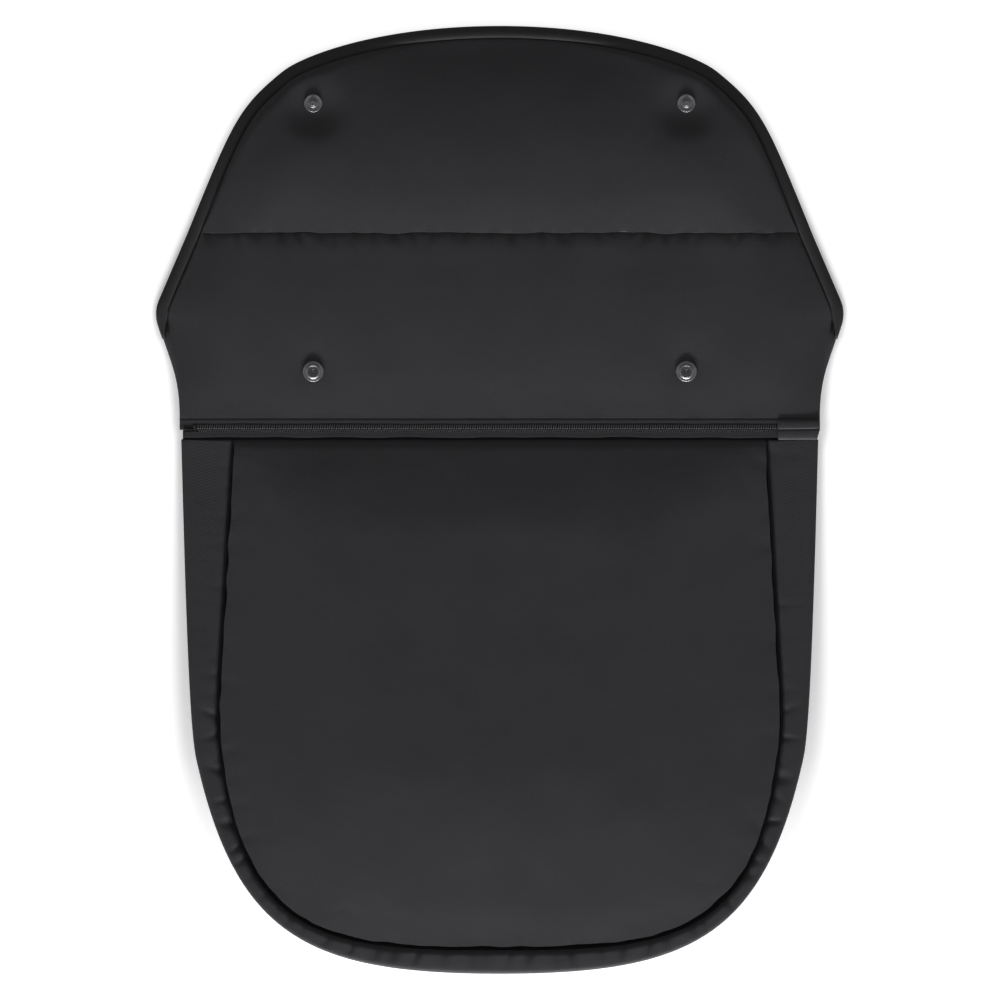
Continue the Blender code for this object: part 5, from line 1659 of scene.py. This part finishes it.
slider_mesh = bmesh.new()
for z in (LOWER_PLATE_TOP - PLATE, SLIDER_HIGH.z - PLATE):
    low, high = (-HALF_LENGTH, -HALF_WIDTH, z), (HALF_LENGTH, HALF_WIDTH, z + PLATE)
    block(slider_mesh, low, high, NOSE_WIDTH, 0.4 * MM)
for side in (-1, 1):
    near, far = sorted((side * HALF_WIDTH, side * (HALF_WIDTH - FLANGE)))
    for low, high in ((2.4 * MM, 3.6 * MM), (SLIDER_HIGH.z - 1.15 * MM, SLIDER_HIGH.z - 0.3 * MM)):
        block(slider_mesh, (-HALF_LENGTH, near, low), (HALF_LENGTH, far, high), NOSE_WIDTH, 0.2 * MM)
block(slider_mesh, (1.5 * MM, -0.45 * MM, 2.6 * MM), (6.2 * MM, 0.45 * MM, 6.6 * MM), 0.6, 0.2 * MM)
for x in (-CROWN_HALF, CROWN_HALF - CROWN_POST):
    low = (x, -CROWN_HALF_WIDTH, SLIDER_LOW.z + 0.3 * MM)
    block(slider_mesh, low, (x + CROWN_POST, CROWN_HALF_WIDTH, 2.4 * MM))
low = (-CROWN_HALF, -CROWN_HALF_WIDTH, SLIDER_LOW.z)
block(slider_mesh, low, (CROWN_HALF, CROWN_HALF_WIDTH, SLIDER_LOW.z + CROWN_WALL))
bmesh.ops.translate(slider_mesh, verts=slider_mesh.verts, vec=(SLIDER_X, CHAIN_Y, 0))
slider = finish_piece(slider_mesh, "zip_slider_cast", GUNMETAL, "slider", ["zip_slider"])
slider.data.set_sharp_from_angle(angle=math.radians(35))

# %% The pull
PULL_LOW, PULL_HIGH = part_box("zip_pull")
PULL_Z = (PULL_LOW.z + PULL_HIGH.z) / 2
PULL_LENGTH = PULL_HIGH.x - PULL_LOW.x
PULL_WIRE = 0.45 * MM
RING_HALF_WIDTH = 1.1 * MM
GRIP_HALF_WIDTH = 1.9 * MM


def pull_half_width(share):
    """The pull's half width along its length: a ring at the crown, then a flared tab."""
    flare = 2.0 * float(smooth_step((share - 0.2) / 0.35))
    return (1.9 + flare - 0.5 * float(smooth_step((share - 0.85) / 0.15))) * MM


def pull_faces(mesh, near, far, half_width):
    """The pull's faces between two distances from its ring's end, near its middle line."""
    middles = {face: face.calc_center_median() for face in mesh.faces}
    return [
        face
        for face, middle in middles.items()
        if PULL_HIGH.x - far < middle.x < PULL_HIGH.x - near and abs(middle.y - CHAIN_Y) < half_width
    ]


pull_mesh = bmesh.new()
bmesh.ops.create_grid(pull_mesh, x_segments=26, y_segments=6, size=1.0)
for vert in pull_mesh.verts:
    share = (vert.co.x + 1) / 2
    vert.co = (PULL_HIGH.x - share * PULL_LENGTH, CHAIN_Y + vert.co.y * pull_half_width(share), PULL_Z)
ring_hole = pull_faces(pull_mesh, 1.2 * MM, 6.2 * MM, RING_HALF_WIDTH)
grip = pull_faces(pull_mesh, 12 * MM, PULL_LENGTH, GRIP_HALF_WIDTH)
bmesh.ops.inset_region(pull_mesh, faces=grip, thickness=0.5 * MM, depth=-0.2 * MM)
bmesh.ops.delete(pull_mesh, geom=ring_hole, context="FACES")
pull = finish_piece(pull_mesh, "zip_pull_cast", GUNMETAL, "pull", ["zip_pull"])
thickened(pull, 2 * PULL_WIRE, inward=False)
soften = pull.modifiers.new("edges", "BEVEL")
soften.width = 0.2 * MM
soften.segments = 2
print("slider and pull", round(PULL_LENGTH / MM, 1), "mm pull")

# %% The solid model's own small parts
KEPT_PARTS = {
    "zip_bottom_stop": LACQUER,
    "zip_top_stop_upper": LACQUER,
    "zip_top_stop_lower": LACQUER,
    "socket_spring_left": GUNMETAL,
    "socket_spring_right": GUNMETAL,
}
for name, finish in KEPT_PARTS.items():
    for material_slot in bpy.data.objects[name].material_slots:
        material_slot.material = finish
